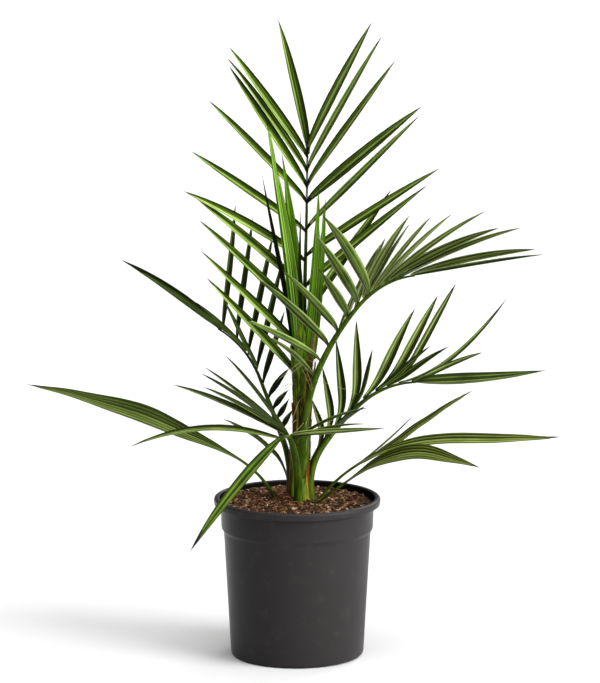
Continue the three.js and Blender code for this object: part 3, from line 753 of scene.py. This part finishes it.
def blade(at, across, up, half, thick, stand, places, faces, pleats=0, pleat_depth=0.0, keel=0.0):
    """A blade's closed shell. A column at place v, from -1 to 1, lies v * half to the side and
    stand * half * |v| + pleat + face * thick * sqrt(1 - v^2) up, where a pleat is a zigzag of
    pleat_depth * half across each side, and a keel of the midrib hangs below: keel * exp(-(v/0.13)^2)."""
    v = places
    zigzag = np.abs((np.abs(v) * pleats) % 1 - 0.5) * 2 if pleats else 0 * v
    bulge = faces * np.sqrt(np.maximum(1 - v**2, 0))
    rib = np.where(faces < 0, np.exp(-((v / 0.13) ** 2)), 0)
    raised = (
        half[..., None] * (stand[..., None] * np.abs(v) ** 1.15 + pleat_depth * zigzag)
        + thick[..., None] * bulge - keel * np.minimum(half[..., None] / 0.002, 1) * rib
    )
    return rings_at(at, across, up, half[..., None] * v, raised)


def finishes_of(leaf):
    """A leaf's finishes: its dark, mid and light streaks, its underside, midrib, base, dry tip, margin
    and dark point."""
    if leaf == "shade":
        rest = (DARK_UNDERSIDE, DARK_UNDERSIDE, DARK_BASE, DRY_TIP, DARK_TIP, DARK_TIP)
    elif leaf == "spear":
        rest = (LEAF_TONES[leaf][0], SPEAR_MIDRIB, LEAF_TONES[leaf][0], DRY_TIP, MARGIN, DARK_TIP)
    else:
        margin = PALE_MARGIN if leaf == "dusky" else MARGIN
        rest = (UNDERSIDE, MIDRIB, LEAF_BASES.get(leaf, STEM_TONES["green"]), DRY_TIP, margin, DARK_TIP)
    return (*LEAF_TONES[leaf], *rest)


def zones(rows, places, faces, streaks, base=0.0, dry=0.0, dark=0.0):
    """Each face's finish on a leaf: its streaks above, with their painted light and painted shade, of which
    only the dark ones show below, so the underside carries painted shade too, then the midrib, the lower
    margins, the dark point, the base and the dry tip. The dark point reaches further down the margins
    than the middle."""
    middle, upper = between(places, faces)
    aside = np.abs(middle)
    at = ((rows[1:] + rows[:-1]) / 2)[:, None]
    dry, dark = (np.reshape(share, (-1, 1, 1)) for share in (dry, dark))
    beneath = np.where((streaks == 0) | (streaks == EDGE), streaks, UNDER)
    found = np.where(upper, streaks, beneath) * np.ones((len(dark), len(at), len(middle)), int)
    for zone, within in (
        (RIDGE, (aside < 0.04) & (at < 0.9)), (EDGE, (aside > 0.88) & ~upper),
        (POINT, at > 1 - dark * (0.5 + aside)), (BASE, at < base), (DRY, at > 1 - dry),
    ):
        found = np.where(within, zone, found)
    return found


def leaflet_width(share, slender):
    """A leaflet's outline, as a share of its half width: 0.22 + 0.56 (1 - e^(-s/0.085)) at its
    root, grown to the whole by s = 0.42, and narrowed towards its point by (1 - s^p)^(1.15 - 0.08 p). p is
    a fifth of its length over its width, from 2 to 3.5, so a short leaflet is a lance."""
    power = np.clip(slender / 5, 2, 3.5)
    rise = np.clip(share / 0.42, 0, 1)
    rise = rise * rise * (3 - 2 * rise)
    swell = 0.22 + 0.56 * (1 - np.exp(-share / 0.085)) + 0.22 * rise
    return np.maximum(swell * (1 - share**power) ** (1.15 - 0.08 * power), 0.03)


def leaflets(skin, root, tip, forward, hook, hand, shape, draws):
    """Folded leaflets from roots to tips. Each centre runs straight, plus an arch of
    4 * arch * s * (1 - s) of its length upward, a seeded sag and a seeded bow across, and at its root a
    bend down the rib of hook * e^(-s / hook_run). Folded, each half rises 0.72 + 0.7 e^(-s/0.12) of its
    width to its margin, so the fold is steep at the root and opens out along it."""
    line = tip - root
    size = np.linalg.norm(line, axis=-1)
    direction = unit(line)
    across = unit(forward - direction * (forward * direction).sum(-1, keepdims=True))
    count = len(root)
    twist = draws.normal(0, UNEVEN["twist"], count) - hand * shape["twist"]
    across = turned(across, direction, np.radians(twist))
    s = LEAFLET_ROWS
    arch = 4 * along(shape["arch"], np.linspace(0, 1, count))[:, None] * s * (1 - s)
    bow = draws.normal(0, UNEVEN["bow"], (count, 1)) * 4 * s * (1 - s)
    sag = draws.normal(0, UNEVEN["sag"], (count, 1)) * 4 * s**2 * (1 - s)
    curl = np.radians(draws.normal(0, UNEVEN["curl"], (count, 1)) * s**1.5)
    centre = root[:, None] + line[:, None] * s[:, None]
    centre = centre + np.array([0, 0, 1.0]) * (size[:, None] * (arch + sag))[..., None]
    centre = centre + across[:, None] * (size[:, None] * bow)[..., None]
    centre = centre + hook[:, None] * np.exp(-s / shape["hook_run"])[:, None]
    ahead = unit(np.gradient(centre, axis=1))
    across = turned(np.broadcast_to(across[:, None], ahead.shape), ahead, curl)
    across = unit(across - ahead * (across * ahead).sum(-1, keepdims=True))
    up = -hand * np.cross(across, ahead)
    places, faces = loop_across(ACROSS)
    width = along(shape["width"], np.linspace(0, 1, count))[:, None]
    half = width / 2 * MM * FULLNESS * leaflet_width(s, size[:, None] / (width * MM))
    stand = 0.72 + 0.7 * np.exp(-s / 0.12) + draws.normal(0, UNEVEN["fold"], (count, 1))
    thick = LEAFLET_THICKNESS / 2 * MM * (1 + 1.2 * np.exp(-s / 0.05)) * np.ones((count, 1))
    thick = np.minimum(thick, half * 0.8)
    shells = blade(centre, across, up, half, thick, stand, places, faces, keel=MIDRIB_KEEL)
    dry = np.where(draws.random(count) < UNEVEN["dried"], draws.uniform(*UNEVEN["dry"], count), 0)
    lit = LIT[draws.integers(len(LIT), size=count)]
    shaded = SHADED[draws.integers(len(SHADED), size=count)]
    middle, band = bands(places, faces)
    # painted light and shade: the half on the hand's side takes a LIT pattern, painted lighter, and the
    # other a SHADED one, painted darker
    streaks = np.where(middle * hand > 0, lit[:, band], shaded[:, band])[:, None]
    dark = draws.uniform(0.5, 1.5, count) * shape["dark_tip"]
    metres = s * size.mean() + draws.random() * 5
    skin.add_blade(shells, places, zones(s, places, faces, streaks, shape["base"], dry, dark), metres)


def turned_out(ahead, out, spread):
    """Which way a leaflet runs at its spread from the rib, and which way its forward edge faces."""
    return ahead * np.cos(spread) + out * np.sin(spread), ahead * np.sin(spread) - out * np.cos(spread)


def side_of(rib, law, hand):
    """One side's leaflets: their roots on the rib, their tips, which way their forward edges face, and
    how each root bends down the rib."""
    order = np.linspace(0, 1, len(law["spread"]))
    share = along(law["reach"], order)
    start, end = law["reach"][0], law["reach"][-1]
    lift = np.radians(along(law["lift"], (share - start) / (end - start)))[:, None]
    size = along(law["size"], order)[:, None] * MM
    radius = along(law["radius"], share)[:, None] * MM
    at, ahead, across, up = frame_at(rib, share)
    out = hand * across * np.cos(lift) + up * np.sin(lift)
    direction, forward = turned_out(ahead, out, np.radians(law["spread"])[:, None])
    tip = at + out * (radius + STRIP_REACH * MM) + direction * size
    return at + out * radius * ROOT_SUNK, tip, forward, -ahead * law["hook"] * MM


def end_of(rib, law, hand):
    """The leaflet that closes one side, at the rib's tip, in the same terms."""
    lift, spread = math.radians(law["lift"][-1]), math.radians(law["spread"])
    at, ahead, across, up = frame_at(rib, np.array([1.0]))
    out = hand * across * math.cos(lift) + up * math.sin(lift)
    direction, forward = turned_out(ahead, out, spread)
    root_half = law["width"] / 2 * ROOT_WIDTH * MM
    seat = at + ahead * (2 * GAP * MM + root_half * abs(math.sin(spread)))
    seat = seat + out * (root_half + 2 * GAP * MM)
    root = at - ahead * (LAST_ROOT_DEPTH * MM)
    return root, seat + direction * law["size"] * MM, forward, -ahead * law["hook"] * MM


# ---- fronds, undivided leaves and spears ----


def rib_of(frond):
    """A frond's stalk and rib, one tapering limb. Its section is round below; above, it is flattened
    to 0.55 of its radius with a groove 0.4 deep along the middle. It swells at its foot by
    0.12 e^(-s/0.04) of its radius."""
    curve = curve_of(frond, RIB_ROWS)
    share = curve["share"]
    radius = smoothly(frond["radius"], share) * frond["stout"] * MM
    radius = (radius * (1 + 0.12 * np.exp(-share / 0.04)))[:, None]
    side, rise = np.cos(once_round(RIB_COLUMNS)), np.sin(once_round(RIB_COLUMNS))
    groove = 0.4 * np.exp(-((side / 0.35) ** 2)) * (rise > 0)
    rise = np.where(rise > 0, 0.55 * rise, rise) - groove * 0.55
    return curve, rings_at(curve["at"], curve["across"], curve["up"], radius * side, radius * rise)


def build_frond(frond, seed):
    """One frond: its stalk and rib, the leaflets of each side and the leaflet that closes each."""
    draws = np.random.default_rng(seed)
    frond = {**USUAL, **frond}
    name = frond["name"]
    curve, points = rib_of(frond)
    skin = Skin(STEM_TONES[frond["stalk"]], STEM_TONES[frond["rachis"]])
    beyond_stalk = curve["share"][:-1, None] >= frond["stalk_ends"]
    skin.add(points, beyond_stalk * 1, curve["share"] * frond["length"] * MM)
    skin.piece(f"{name}_rachis", "rib", *(f"{name}_{part}" for part in frond["nodes"]))
    for side, hand in (("right", 1), ("left", -1)):
        law = {**frond, **frond[side]}
        last = {**law, **law["end"]}
        for shape, grown, kind, node in (
            (law, side_of(curve, law, hand), "leaflets", "blade"),
            (last, end_of(curve, last, hand), "last_leaflet", "end_leaflet"),
        ):
            skin = Skin(*finishes_of(shape["leaf"]))
            leaflets(skin, *grown, hand, shape, draws)
            skin.piece(f"{name}_{side}_{kind}", "leaf", f"{name}_{side}_{node}")


def build_juvenile(law, seed):
    """An undivided leaf or lobe: a pleated blade on a slender stalk. Its pleats open with its width, a
    ripple of sin(21 s) runs along it where it is broad, and there it is also thinner and flatter."""
    draws = np.random.default_rng(seed)
    lobe = isinstance(law["foot"][0], str)
    if lobe:
        carrier = next(other for other in JUVENILES if other["name"] == law["foot"][0])
        at = frame_at(curve_of(carrier, 60), np.array([law["foot"][1]]))[0][0]
        law = {**law, "foot": at / MM}
    curve = curve_of(law, 70)
    share = curve["share"]
    half = np.maximum(smoothly(law["half"], share), PLEATED["least_half"]) * MM
    thick = np.minimum(smoothly(law["thick"], share) * MM, half * 0.95)
    broad = np.clip((half - PLEATED["stalk_half"]) / PLEATED["opens_over"], 0, 1)
    thick = thick * (1 - 0.55 * broad)
    stand = 0.1 + 0.06 * broad + 0.35 * (1 - broad) * (half < 0.0017)
    places, faces = loop_across(np.linspace(-1, 1, 8 * law["pleats"] + 1))
    ripple = PLEATED["ripple"] * np.sin(share * PLEATED["waves"] + draws.random() * 6) * broad
    at = curve["at"] + curve["up"] * ripple[:, None]
    shell = blade(
        at, curve["across"], curve["up"], half, thick, stand, places, faces,
        pleats=law["pleats"], pleat_depth=PLEATED["depth"], keel=PLEATED["keel"],
    )
    # painted light and shade: across each pleat PLEAT puts a painted highlight on the crest and painted
    # shade in the fold
    strip = (np.abs(between(places, faces)[0]) * law["pleats"] * len(PLEAT)).astype(int) % len(PLEAT)
    base = PLEATED["lobe_base" if lobe else "base"]
    tone = zones(share, places, faces, PLEAT[strip], base, 0.0, PLEATED["point"])
    skin = Skin(*finishes_of(law["leaf"]))
    skin.add_blade(shell, places, tone, share * law["length"] * MM)
    skin.piece(law["name"] + "_blade", "leaf", law["name"])


def build_spear(law, seed):
    """An unopened frond: narrow folded leaflets side by side, whose edges overlap. The tallest reaches
    the tip, and fills the spear's width where the rest have ended; each one beyond it ends about a
    tenth lower and lies behind it. A spear of one leaflet is dark, as it lies in shade."""
    draws = np.random.default_rng(seed)
    foot = (*law["foot"], SPEAR_FOOT - SPEAR_SUNK)
    curve = curve_of({**law, "length": law["length"] + SPEAR_SUNK, "foot": foot}, 60)
    folds = len(law["tones"])
    skin = Skin(*finishes_of("spear" if folds > 1 else "shade"))
    places, faces = loop_across(ACROSS)
    streak = bands(places, faces)[1]
    for i, tone in enumerate(law["tones"]):
        place = (i + 0.5) / folds * 2 - 1
        beyond = abs(i - law["tallest"])
        reach = 1 - beyond * PACKED["lower"] - min(beyond, 1) * draws.uniform(0, PACKED["ragged"])
        share = stepped(PACKED["rows"], 0.3) * reach
        at, ahead, across, up = frame_at(curve, share)
        whole = smoothly(law["half"], share / reach) * MM
        room = 1.15 / folds + 0.12 * min(folds - 1, 1)
        filled = np.clip((share - 0.55) / 0.35, 0, 1) ** 2 if beyond == 0 else 0
        half = whole * (room + (0.75 - room) * filled * (folds > 1))
        half = np.maximum(half, PACKED["least_half"])
        aside = place * (1 - 0.5 / folds) * smoothly(law["half"], share) * (1 - 0.8 * filled) * MM
        depth = -PACKED["behind"] * beyond * draws.uniform(0.8, 1.2)
        centre = at + across * aside[:, None] + up * depth
        lean = np.full(len(share), np.radians(-PACKED["lean"] * place + draws.normal(0, PACKED["sway"])))
        side, over = turned(across, ahead, lean), turned(up, ahead, lean)
        thick = np.minimum(np.full(len(share), PACKED["half_thick"]), half * 0.8)
        stand = np.full(len(share), draws.uniform(*PACKED["fold"]))
        shell = blade(centre, side, over, half, thick, stand, places, faces, keel=MIDRIB_KEEL)
        # painted light and shade: each fold's streaks come from FOLDS, a painted highlight on its light
        # streak and painted shade on its dark margins
        tones = zones(share / reach, places, faces, FOLDS[tone][streak], dark=USUAL["dark_tip"])
        skin.add_blade(shell, places, tones, share * law["length"] * MM + i)
    skin.piece(law["name"] + "_folds", "spear", law["name"])


# ---- trunk ----


def trunk_at(height):
    """The trunk's centre and radius at heights in millimetres, in metres."""
    foot, top = np.array(TRUNK["foot"], float), np.array(TRUNK["top"], float)
    share = (np.asarray(height, float) - foot[2]) / (top[2] - foot[2])
    centre = foot + (top - foot) * share[..., None]
    return centre * MM, smoothly(TRUNK["radius"], np.clip(share, 0, 1)) * MM


def around(centre, reach, angle):
    """Points at a reach from the trunk's centre, at an angle round it."""
    return centre + np.stack([reach * np.cos(angle), reach * np.sin(angle), np.zeros_like(reach)], -1)


def build_trunk_core(seed):
    """The trunk's core. Round it the radius swings in a few broad ribs that drift with the height z, in
    millimetres, with finer strands on them, at seeded phases:
    R * (0.88 + 0.05 sin(5a + z/30) + 0.02 sin(23a + z/7) + 0.02 sin(9a - z/11))."""
    draws = np.random.default_rng(seed)
    height = np.linspace(ROOTED, TRUNK["top"][2] + 8, TRUNK_ROWS)
    centre, radius = trunk_at(height)
    radius[-TRUNK_CROWN:] *= np.linspace(1, 0.55, TRUNK_CROWN)
    angle = once_round(TRUNK_SIDES)
    phase = draws.uniform(0, 6, 3)
    swing = (
        0.88 + 0.05 * np.sin(5 * angle + height[:, None] / 30 + phase[0])
        + 0.02 * np.sin(23 * angle + height[:, None] / 7 + phase[1])
        + 0.02 * np.sin(9 * angle - height[:, None] / 11 + phase[2])
    )
    skin = Skin(STEM_TONES["olive"])
    skin.add(around(centre[:, None], radius[:, None] * swing, angle))
    skin.piece("trunk_core", "trunk", "trunk")


def build_sheath(law, number, seed):
    """One old leaf sheath, wrapped on the trunk: at share s of its height it covers the angle
    wrap * (1 - s^2.5)^0.8 either side of faces + drift (1 - s), so it ends in a point. It stands off most
    along its middle, by off * (1 - 0.8 v^2) at place v across it, plus 2 s^4 mm towards its tip and ribs of
    0.3 mm. Its edges fray in two waves, of 0.07 and 0.05 of its wrap."""
    draws = np.random.default_rng(seed)
    s = stepped(50, 0.4)
    height = law["low"] + (law["high"] - law["low"]) * s
    centre, radius = trunk_at(height)
    wrap = math.radians(law["wrap"]) * np.maximum(1 - s**2.5, 0.0004) ** 0.8
    places, faces = loop_across(np.linspace(-1, 1, SHEATH_COLUMNS))
    fray = 1 + 0.07 * np.sin(height[:, None] * 0.9 + places * 3 + draws.random() * 6)
    fray = fray + 0.05 * np.sin(height[:, None] * 2.3 + draws.random() * 6)
    middle = np.radians(law["faces"] + law["drift"] * (1 - s))
    angle = middle[:, None] + places * wrap[:, None] * fray
    ribs = 0.0003 * np.cos(places * 22 + height[:, None] / 15)
    off = along(law["off"], s)[:, None] * (1 - 0.8 * places**2) * MM + 0.002 * s[:, None] ** 4 + ribs
    thick = np.minimum(0.0007, radius * wrap * 0.5)[:, None]
    reach = radius[:, None] * 0.97 + off + faces * thick * np.sqrt(1 - places**2)
    skin = Skin(STEM_TONES[law["tone"]])
    skin.add_blade(around(centre[:, None], reach, angle), places, 0, height * MM)
    skin.piece(f"leaf_sheath_{number}", "trunk")


def strands(skin, paths, radius, tone=0):
    """Thin fibres along paths, [strand, point, xyz]: three-sided tubes that taper to both ends."""
    ahead = unit(np.gradient(paths, axis=1))
    side = unit(np.cross(ahead, np.array([0.31, 0.52, 0.8])))
    over = np.cross(ahead, side)
    share = np.linspace(0, 1, paths.shape[1])
    half = np.asarray(radius)[:, None] * (0.25 + 0.75 * np.sin(math.pi * share) ** 0.5)
    angle = once_round(3)
    rings = rings_at(paths, side, over, half[..., None] * np.cos(angle), half[..., None] * np.sin(angle))
    skin.add(rings, np.asarray(tone).reshape(-1, 1, 1))


def build_fibres(seed):
    """Fibre on the trunk. Strands climb its surface with a slow sideways drift and lift off at their
    upper ends. A few pale hairs leave its upper part: each runs outward, swings aside and droops by
    the square of its run."""
    draws = np.random.default_rng(seed)
    count = STRANDS["count"]
    t = np.linspace(0, 1, 9)
    start = draws.uniform(*STRANDS["low"], (count, 1))
    height = start + draws.uniform(*STRANDS["climb"], (count, 1)) * t
    angle = draws.uniform(-math.pi, math.pi, (count, 1))
    angle = angle + draws.normal(0, STRANDS["drift"], (count, 1)) * t
    angle = angle + 0.06 * np.sin(t * 9 + draws.uniform(0, 6, (count, 1)))
    centre, radius = trunk_at(height)
    lift = STRANDS["off"][0] + STRANDS["off"][1] * t**5 * draws.random((count, 1))
    paths = around(centre, radius + lift, angle)
    skin = Skin(STEM_TONES["brown"], STEM_TONES["tan"], STEM_TONES["rust"])
    radius = draws.uniform(*STRANDS["radius"], count)
    strands(skin, paths, radius, draws.choice(3, count, p=STRANDS["tones"]))
    skin.piece("trunk_fibres", "trunk")

    count = HAIRS["count"]
    t = np.linspace(0, 1, 14)[None, :, None]
    height = draws.uniform(*HAIRS["low"], count)
    angle = draws.uniform(*HAIRS["faces"], count)
    centre, radius = trunk_at(height)
    out = np.stack([np.cos(angle), np.sin(angle), np.zeros(count)], -1)[:, None]
    swing = np.stack([-np.sin(angle), np.cos(angle), np.zeros(count)], -1)[:, None]
    size = draws.uniform(*HAIRS["size"], (count, 1, 1))
    turn = draws.normal(0, HAIRS["turn"], (count, 1, 1))
    climb = draws.uniform(*HAIRS["climb"], (count, 1, 1))
    paths = (
        centre[:, None] + out * (radius[:, None, None] * 0.9 + size * 0.8 * t) + swing * size * turn * t**2
        + np.array([0, 0, 1.0]) * size * (climb * t - 1.3 * t**2)
    )
    skin = Skin(HAIR)
    strands(skin, paths, draws.uniform(*HAIRS["radius"], count))
    skin.piece("trunk_hairs", "trunk")


# ---- soil ----


def soil_height(x, y):
    """The soil's top in metres: level, apart from a dip towards the wall on one side, a mound of fibre
    and clods, which are a sum of seeded waves of 6 to 25 mm."""
    draws = np.random.default_rng(SEEDS["ground"])
    radius, heading = np.hypot(x, y), np.arctan2(y, x)
    edge = (BAND_RADIUS - POT_WALL) * MM
    outward = np.clip((radius - SOIL_LEVEL_RADIUS * MM) / (edge - SOIL_LEVEL_RADIUS * MM), 0, 1)
    facing = (1 + np.cos(heading - math.radians(SOIL_DIP_HEADING))) / 2
    height = SOIL_TOP - outward * (SOIL_DIP * facing)
    apart = np.hypot(x / MM - MOUND["at"][0], y / MM - MOUND["at"][1]) / MOUND["radius"]
    height = height + MOUND["height"] * np.exp(-(apart**2))
    for wave in draws.uniform(6, 25, 14):
        turn, phase = draws.uniform(0, 2 * math.pi, 2)
        run = (x * math.cos(turn) + y * math.sin(turn)) / MM * 2 * math.pi / wave
        height = height + 0.045 * wave**0.7 * np.sin(run + phase) * 0.4
    return height * MM


def build_soil():
    """The soil fills the pot: one turned shell, from the middle of its underside out, up the wall and
    back in over its top, whose rows inside the wall take the height of the ground."""
    angle = once_round(SOIL_SIDES)
    wall = BAND_RADIUS - POT_WALL - 3 * GAP
    under = [(8, POT_FLOOR + GAP), (FOOT_RADIUS - 5, POT_FLOOR + GAP), (FOOT_RADIUS - POT_WALL - 1, 6),
             (STEP_RADIUS - POT_WALL - 2 * GAP, STEP_BOTTOM), (wall - BAND_DRAFT, BAND_BOTTOM + 2)]
    top = np.concatenate([[wall], np.linspace(wall - 1.5, 1.5, SOIL_RINGS)])
    radius = np.concatenate([[point[0] for point in under], top]) * MM
    x, y = radius[:, None] * np.cos(angle), radius[:, None] * np.sin(angle)
    z = np.concatenate([
        np.repeat([[point[1] * MM] for point in under], len(angle), axis=1),
        soil_height(x[len(under):], y[len(under):]),
    ])
    skin = Skin(SOIL_TONES[0])
    skin.add(np.stack([x, y, z], -1))
    skin.piece("potting_soil", "soil", "soil")


def build_bark(seed):
    """Bark and coir lying on the soil. A chip is a flattened six-sided lump: two rings of seeded radii
    between two poles, stretched along three axes and tilted."""
    draws = np.random.default_rng(seed)
    count = BARK_CHIPS["count"]
    reach = (BAND_RADIUS - POT_WALL - 4) * MM * np.sqrt(draws.random(count))
    heading = draws.uniform(0, 2 * math.pi, count)
    x, y = reach * np.cos(heading), reach * np.sin(heading)
    at = np.stack([x, y, soil_height(x, y) + draws.uniform(*BARK_CHIPS["lies"], count)], -1)
    long = draws.uniform(*BARK_CHIPS["long"], count) * MM * draws.choice([1, 1.5], count, p=(0.85, 0.15))
    wide = long * draws.uniform(*BARK_CHIPS["wide"], count)
    flat = long * draws.uniform(*BARK_CHIPS["flat"], count)
    spin = draws.uniform(0, 2 * math.pi, count)
    first = unit(np.stack([np.cos(spin), np.sin(spin), draws.normal(0, 0.3, count)], -1))
    normal = unit(np.stack([draws.normal(0, 0.35, count), draws.normal(0, 0.35, count), np.ones(count)], -1))
    second = unit(np.cross(normal, first))
    normal = np.cross(first, second)
    angle = once_round(6)
    ring = draws.uniform(*BARK_CHIPS["edge"], (count, 2, 6))
    level = np.array([-0.6, 0.6])
    rings = (
        at[:, None, None]
        + first[:, None, None] * (long[:, None, None] * ring * np.cos(angle))[..., None]
        + second[:, None, None] * (wide[:, None, None] * ring * np.sin(angle))[..., None]
        + normal[:, None, None] * (flat[:, None] * level)[..., None, None]
    )
    tone = draws.choice(5, count, p=BARK_CHIPS["tones"])
    apart = np.hypot(x / MM - MOUND["at"][0], y / MM - MOUND["at"][1])
    tone = np.where((apart < MOUND["radius"] * 1.2) & (draws.random(count) < 0.75), 2, tone)
    skin = Skin(*SOIL_TONES)
    skin.add(rings, tone.reshape(-1, 1, 1))
    skin.piece("bark_chips", "soil", smooth=False)

    count = COIR["count"]
    t = np.linspace(-1, 1, 7)
    reach = (BAND_RADIUS - POT_WALL - 8) * MM * np.sqrt(draws.random((count, 1)))
    heading = draws.uniform(0, 2 * math.pi, (count, 1))
    matted = draws.random((count, 1)) < 0.5
    reach = np.where(matted, draws.uniform(0, 1.7, (count, 1)) * MOUND["radius"] * MM, reach)
    middle = np.array(MOUND["at"]) * MM * matted
    turn = draws.uniform(0, 2 * math.pi, (count, 1)) + t * draws.normal(0, 0.5, (count, 1))
    size = draws.uniform(*COIR["size"], (count, 1))
    x = middle[:, :1] + reach * np.cos(heading) + size * t * np.cos(turn)
    y = middle[:, 1:] + reach * np.sin(heading) + size * t * np.sin(turn)
    z = soil_height(x, y) + 0.0012 + 0.0018 * draws.random((count, 1)) * (1 - t**2)
    skin = Skin(SOIL_TONES[1], SOIL_TONES[3], STEM_TONES["rust"])
    radius = draws.uniform(*COIR["radius"], count)
    strands(skin, np.stack([x, y, z], -1), radius, draws.choice(3, count, p=COIR["tones"]))
    skin.piece("coir_fibres", "soil")


# ---- pot ----


def rounded(corners):
    """A profile with its corners rounded. Each corner is (radius, height, rounding): an arc of that
    rounding, drawn as the curve that leaves one side and joins the next at their tangent points."""
    points = np.array([corner[:2] for corner in corners], float)
    found = [points[:1]]
    for i in range(1, len(points) - 1):
        back, on = points[i - 1] - points[i], points[i + 1] - points[i]
        reach = min(corners[i][2], np.linalg.norm(back) * 0.49, np.linalg.norm(on) * 0.49)
        if reach <= 0:
            found.append(points[i : i + 1])
            continue
        start = points[i] + unit(back) * reach
        end = points[i] + unit(on) * reach
        t = np.linspace(0, 1, CORNER_ROWS)[:, None]
        found.append(start * (1 - t) ** 2 + points[i] * 2 * t * (1 - t) + end * t**2)
    found.append(points[-1:])
    return np.concatenate(found)


def build_pot():
    """The pot: its wall's profile, outside up, over the rolled lip and down inside, turned about Z,
    with drain holes cut through its floor."""
    lip_bottom = POT_HEIGHT - LIP_HEIGHT
    profile = rounded([
        (6, 0, 0), (FOOT_RADIUS - 1.2, 0, 5), (STEP_RADIUS, STEP_BOTTOM, 1.5),
        (BAND_RADIUS - BAND_DRAFT, BAND_BOTTOM, 1.2), (BAND_RADIUS, lip_bottom, 1),
        (RIM_RADIUS - 0.6, lip_bottom, 1.1), (RIM_RADIUS, POT_HEIGHT - 2, 3),
        (RIM_RADIUS - 3, POT_HEIGHT, 2.5), (RIM_RADIUS - 6.3, POT_HEIGHT - 0.3, 1.5),
        (RIM_RADIUS - 7.6, POT_HEIGHT - 2.6, 1.5), (BAND_RADIUS - POT_WALL, lip_bottom - 4, 2),
        (BAND_RADIUS - BAND_DRAFT - POT_WALL, BAND_BOTTOM + 1, 2),
        (STEP_RADIUS - POT_WALL, STEP_BOTTOM + 1, 2), (FOOT_RADIUS - POT_WALL, POT_FLOOR, 3),
        (6, POT_FLOOR, 0),
    ]) * MM
    angle = once_round(POT_SIDES)
    points = np.stack([
        profile[:, :1] * np.cos(angle), profile[:, :1] * np.sin(angle),
        np.repeat(profile[:, 1:], POT_SIDES, axis=1),
    ], -1)
    # painted shade: the rows inside the pot take the near-black inside finish
    inside = np.arange(len(profile) - 1) >= np.argmax(profile[:, 1]) + LIP_ROWS
    skin = Skin(POT_FINISH, POT_INSIDE)
    skin.add(points, inside[:, None] * 1)
    cut_drains(skin.piece("nursery_pot", "pot", "pot"))


def cut_drains(pot):
    """Cuts the drain holes through the pot's floor: a ring of upright cylinders is taken away."""
    heading, angle = once_round(DRAIN_HOLES)[:, None, None], once_round(DRAIN_SIDES)
    height = np.array([-POT_FLOOR, POT_FLOOR + GAP / 2])[:, None]
    points = np.stack(np.broadcast_arrays(
        DRAIN_RING * np.cos(heading) + DRAIN_RADIUS * np.cos(angle),
        DRAIN_RING * np.sin(heading) + DRAIN_RADIUS * np.sin(angle),
        height,
    ), -1)
    skin = Skin(POT_FINISH)
    skin.add(points * MM)
    cutter = put("drain_cutter", skin.mesh("drain_cutter"))
    cut = pot.modifiers.new("drains", "BOOLEAN")
    cut.object = cutter
    cut.solver = "EXACT"
    view = bpy.context.evaluated_depsgraph_get()
    finished = bpy.data.meshes.new_from_object(pot.evaluated_get(view))
    pot.modifiers.clear()
    pot.data = finished
    bpy.data.objects.remove(cutter)


# ---- studio ----


def build_floor():
    """A wide pale floor just under the pot."""
    side = FLOOR_HALF
    mesh = bpy.data.meshes.new("floor")
    mesh.from_pydata([(-side, -side, 0), (side, -side, 0), (side, side, 0), (-side, side, 0)], [],
                     [(0, 1, 2, 3)])
    mesh.materials.append(studio_floor())
    floor = put("floor", mesh)
    floor.location.z = -FLOOR_DROP


def build_lights():
    """Suns with broad discs for soft boxes, a tall box at the side, and a world that is brighter towards
    one side."""
    for name, strength, disc, heading, rise in SUNS:
        sun = bpy.data.lights.new(name, "SUN")
        sun.energy = strength
        sun.angle = math.radians(disc)
        put(name, sun).rotation_euler = (math.radians(90 - rise), 0, math.radians(heading + 90))
    box = bpy.data.lights.new("side_box", "AREA")
    box.shape = "RECTANGLE"
    box.size, box.size_y = SIDE_BOX["size"]
    box.energy = SIDE_BOX["energy"]
    lamp = put("side_box", box)
    lamp.location = SIDE_BOX["at"]
    lamp.rotation_euler = (math.radians(90), 0, math.radians(SIDE_BOX["heading"]))
    lamp.visible_camera = False
    world = bpy.data.worlds.new("studio")
    world.use_nodes = True
    nodes, links = world.node_tree.nodes, world.node_tree.links
    place, parts = nodes.new("ShaderNodeTexCoord"), nodes.new("ShaderNodeSeparateXYZ")
    shade = nodes.new("ShaderNodeMapRange")
    for socket, value in WORLD_SHADE:
        shade.inputs[socket].default_value = value
    links.new(place.outputs["Generated"], parts.inputs[0])
    links.new(parts.outputs["X"], shade.inputs["Value"])
    nodes["Background"].inputs["Color"].default_value = (1, 1, 1, 1)
    links.new(shade.outputs[0], nodes["Background"].inputs["Strength"])
    bpy.context.scene.world = world


def build_camera():
    """A long lens that looks a little down on the plant."""
    camera = bpy.data.cameras.new("camera")
    camera.lens = LENS
    camera.sensor_width = SENSOR
    camera.clip_end = FAR_CLIP
    eye = put("camera", camera)
    eye.location = CAMERA_AT
    look = np.array(CAMERA_SEES) - np.array(CAMERA_AT)
    level = math.hypot(look[0], look[1])
    eye.rotation_euler = (math.atan2(level, -look[2]), 0, math.atan2(-look[0], look[1]))
    bpy.context.scene.camera = eye
    bpy.context.scene.view_settings.view_transform = "Standard"


# ---- the plant ----

build_floor()
build_lights()
build_camera()
build_pot()
build_soil()
build_bark(SEEDS["bark"])
build_trunk_core(SEEDS["trunk"])
for number, sheath in enumerate(SHEATHS):
    build_sheath(sheath, number, SEEDS["sheath"] + number)
build_fibres(SEEDS["fibre"])
for number, frond in enumerate(FRONDS):
    build_frond(frond, SEEDS["frond"] + number)
for number, leaf in enumerate(JUVENILES):
    build_juvenile(leaf, SEEDS["juvenile"] + number)
for number, spear in enumerate(SPEARS):
    build_spear(spear, SEEDS["spear"] + number)
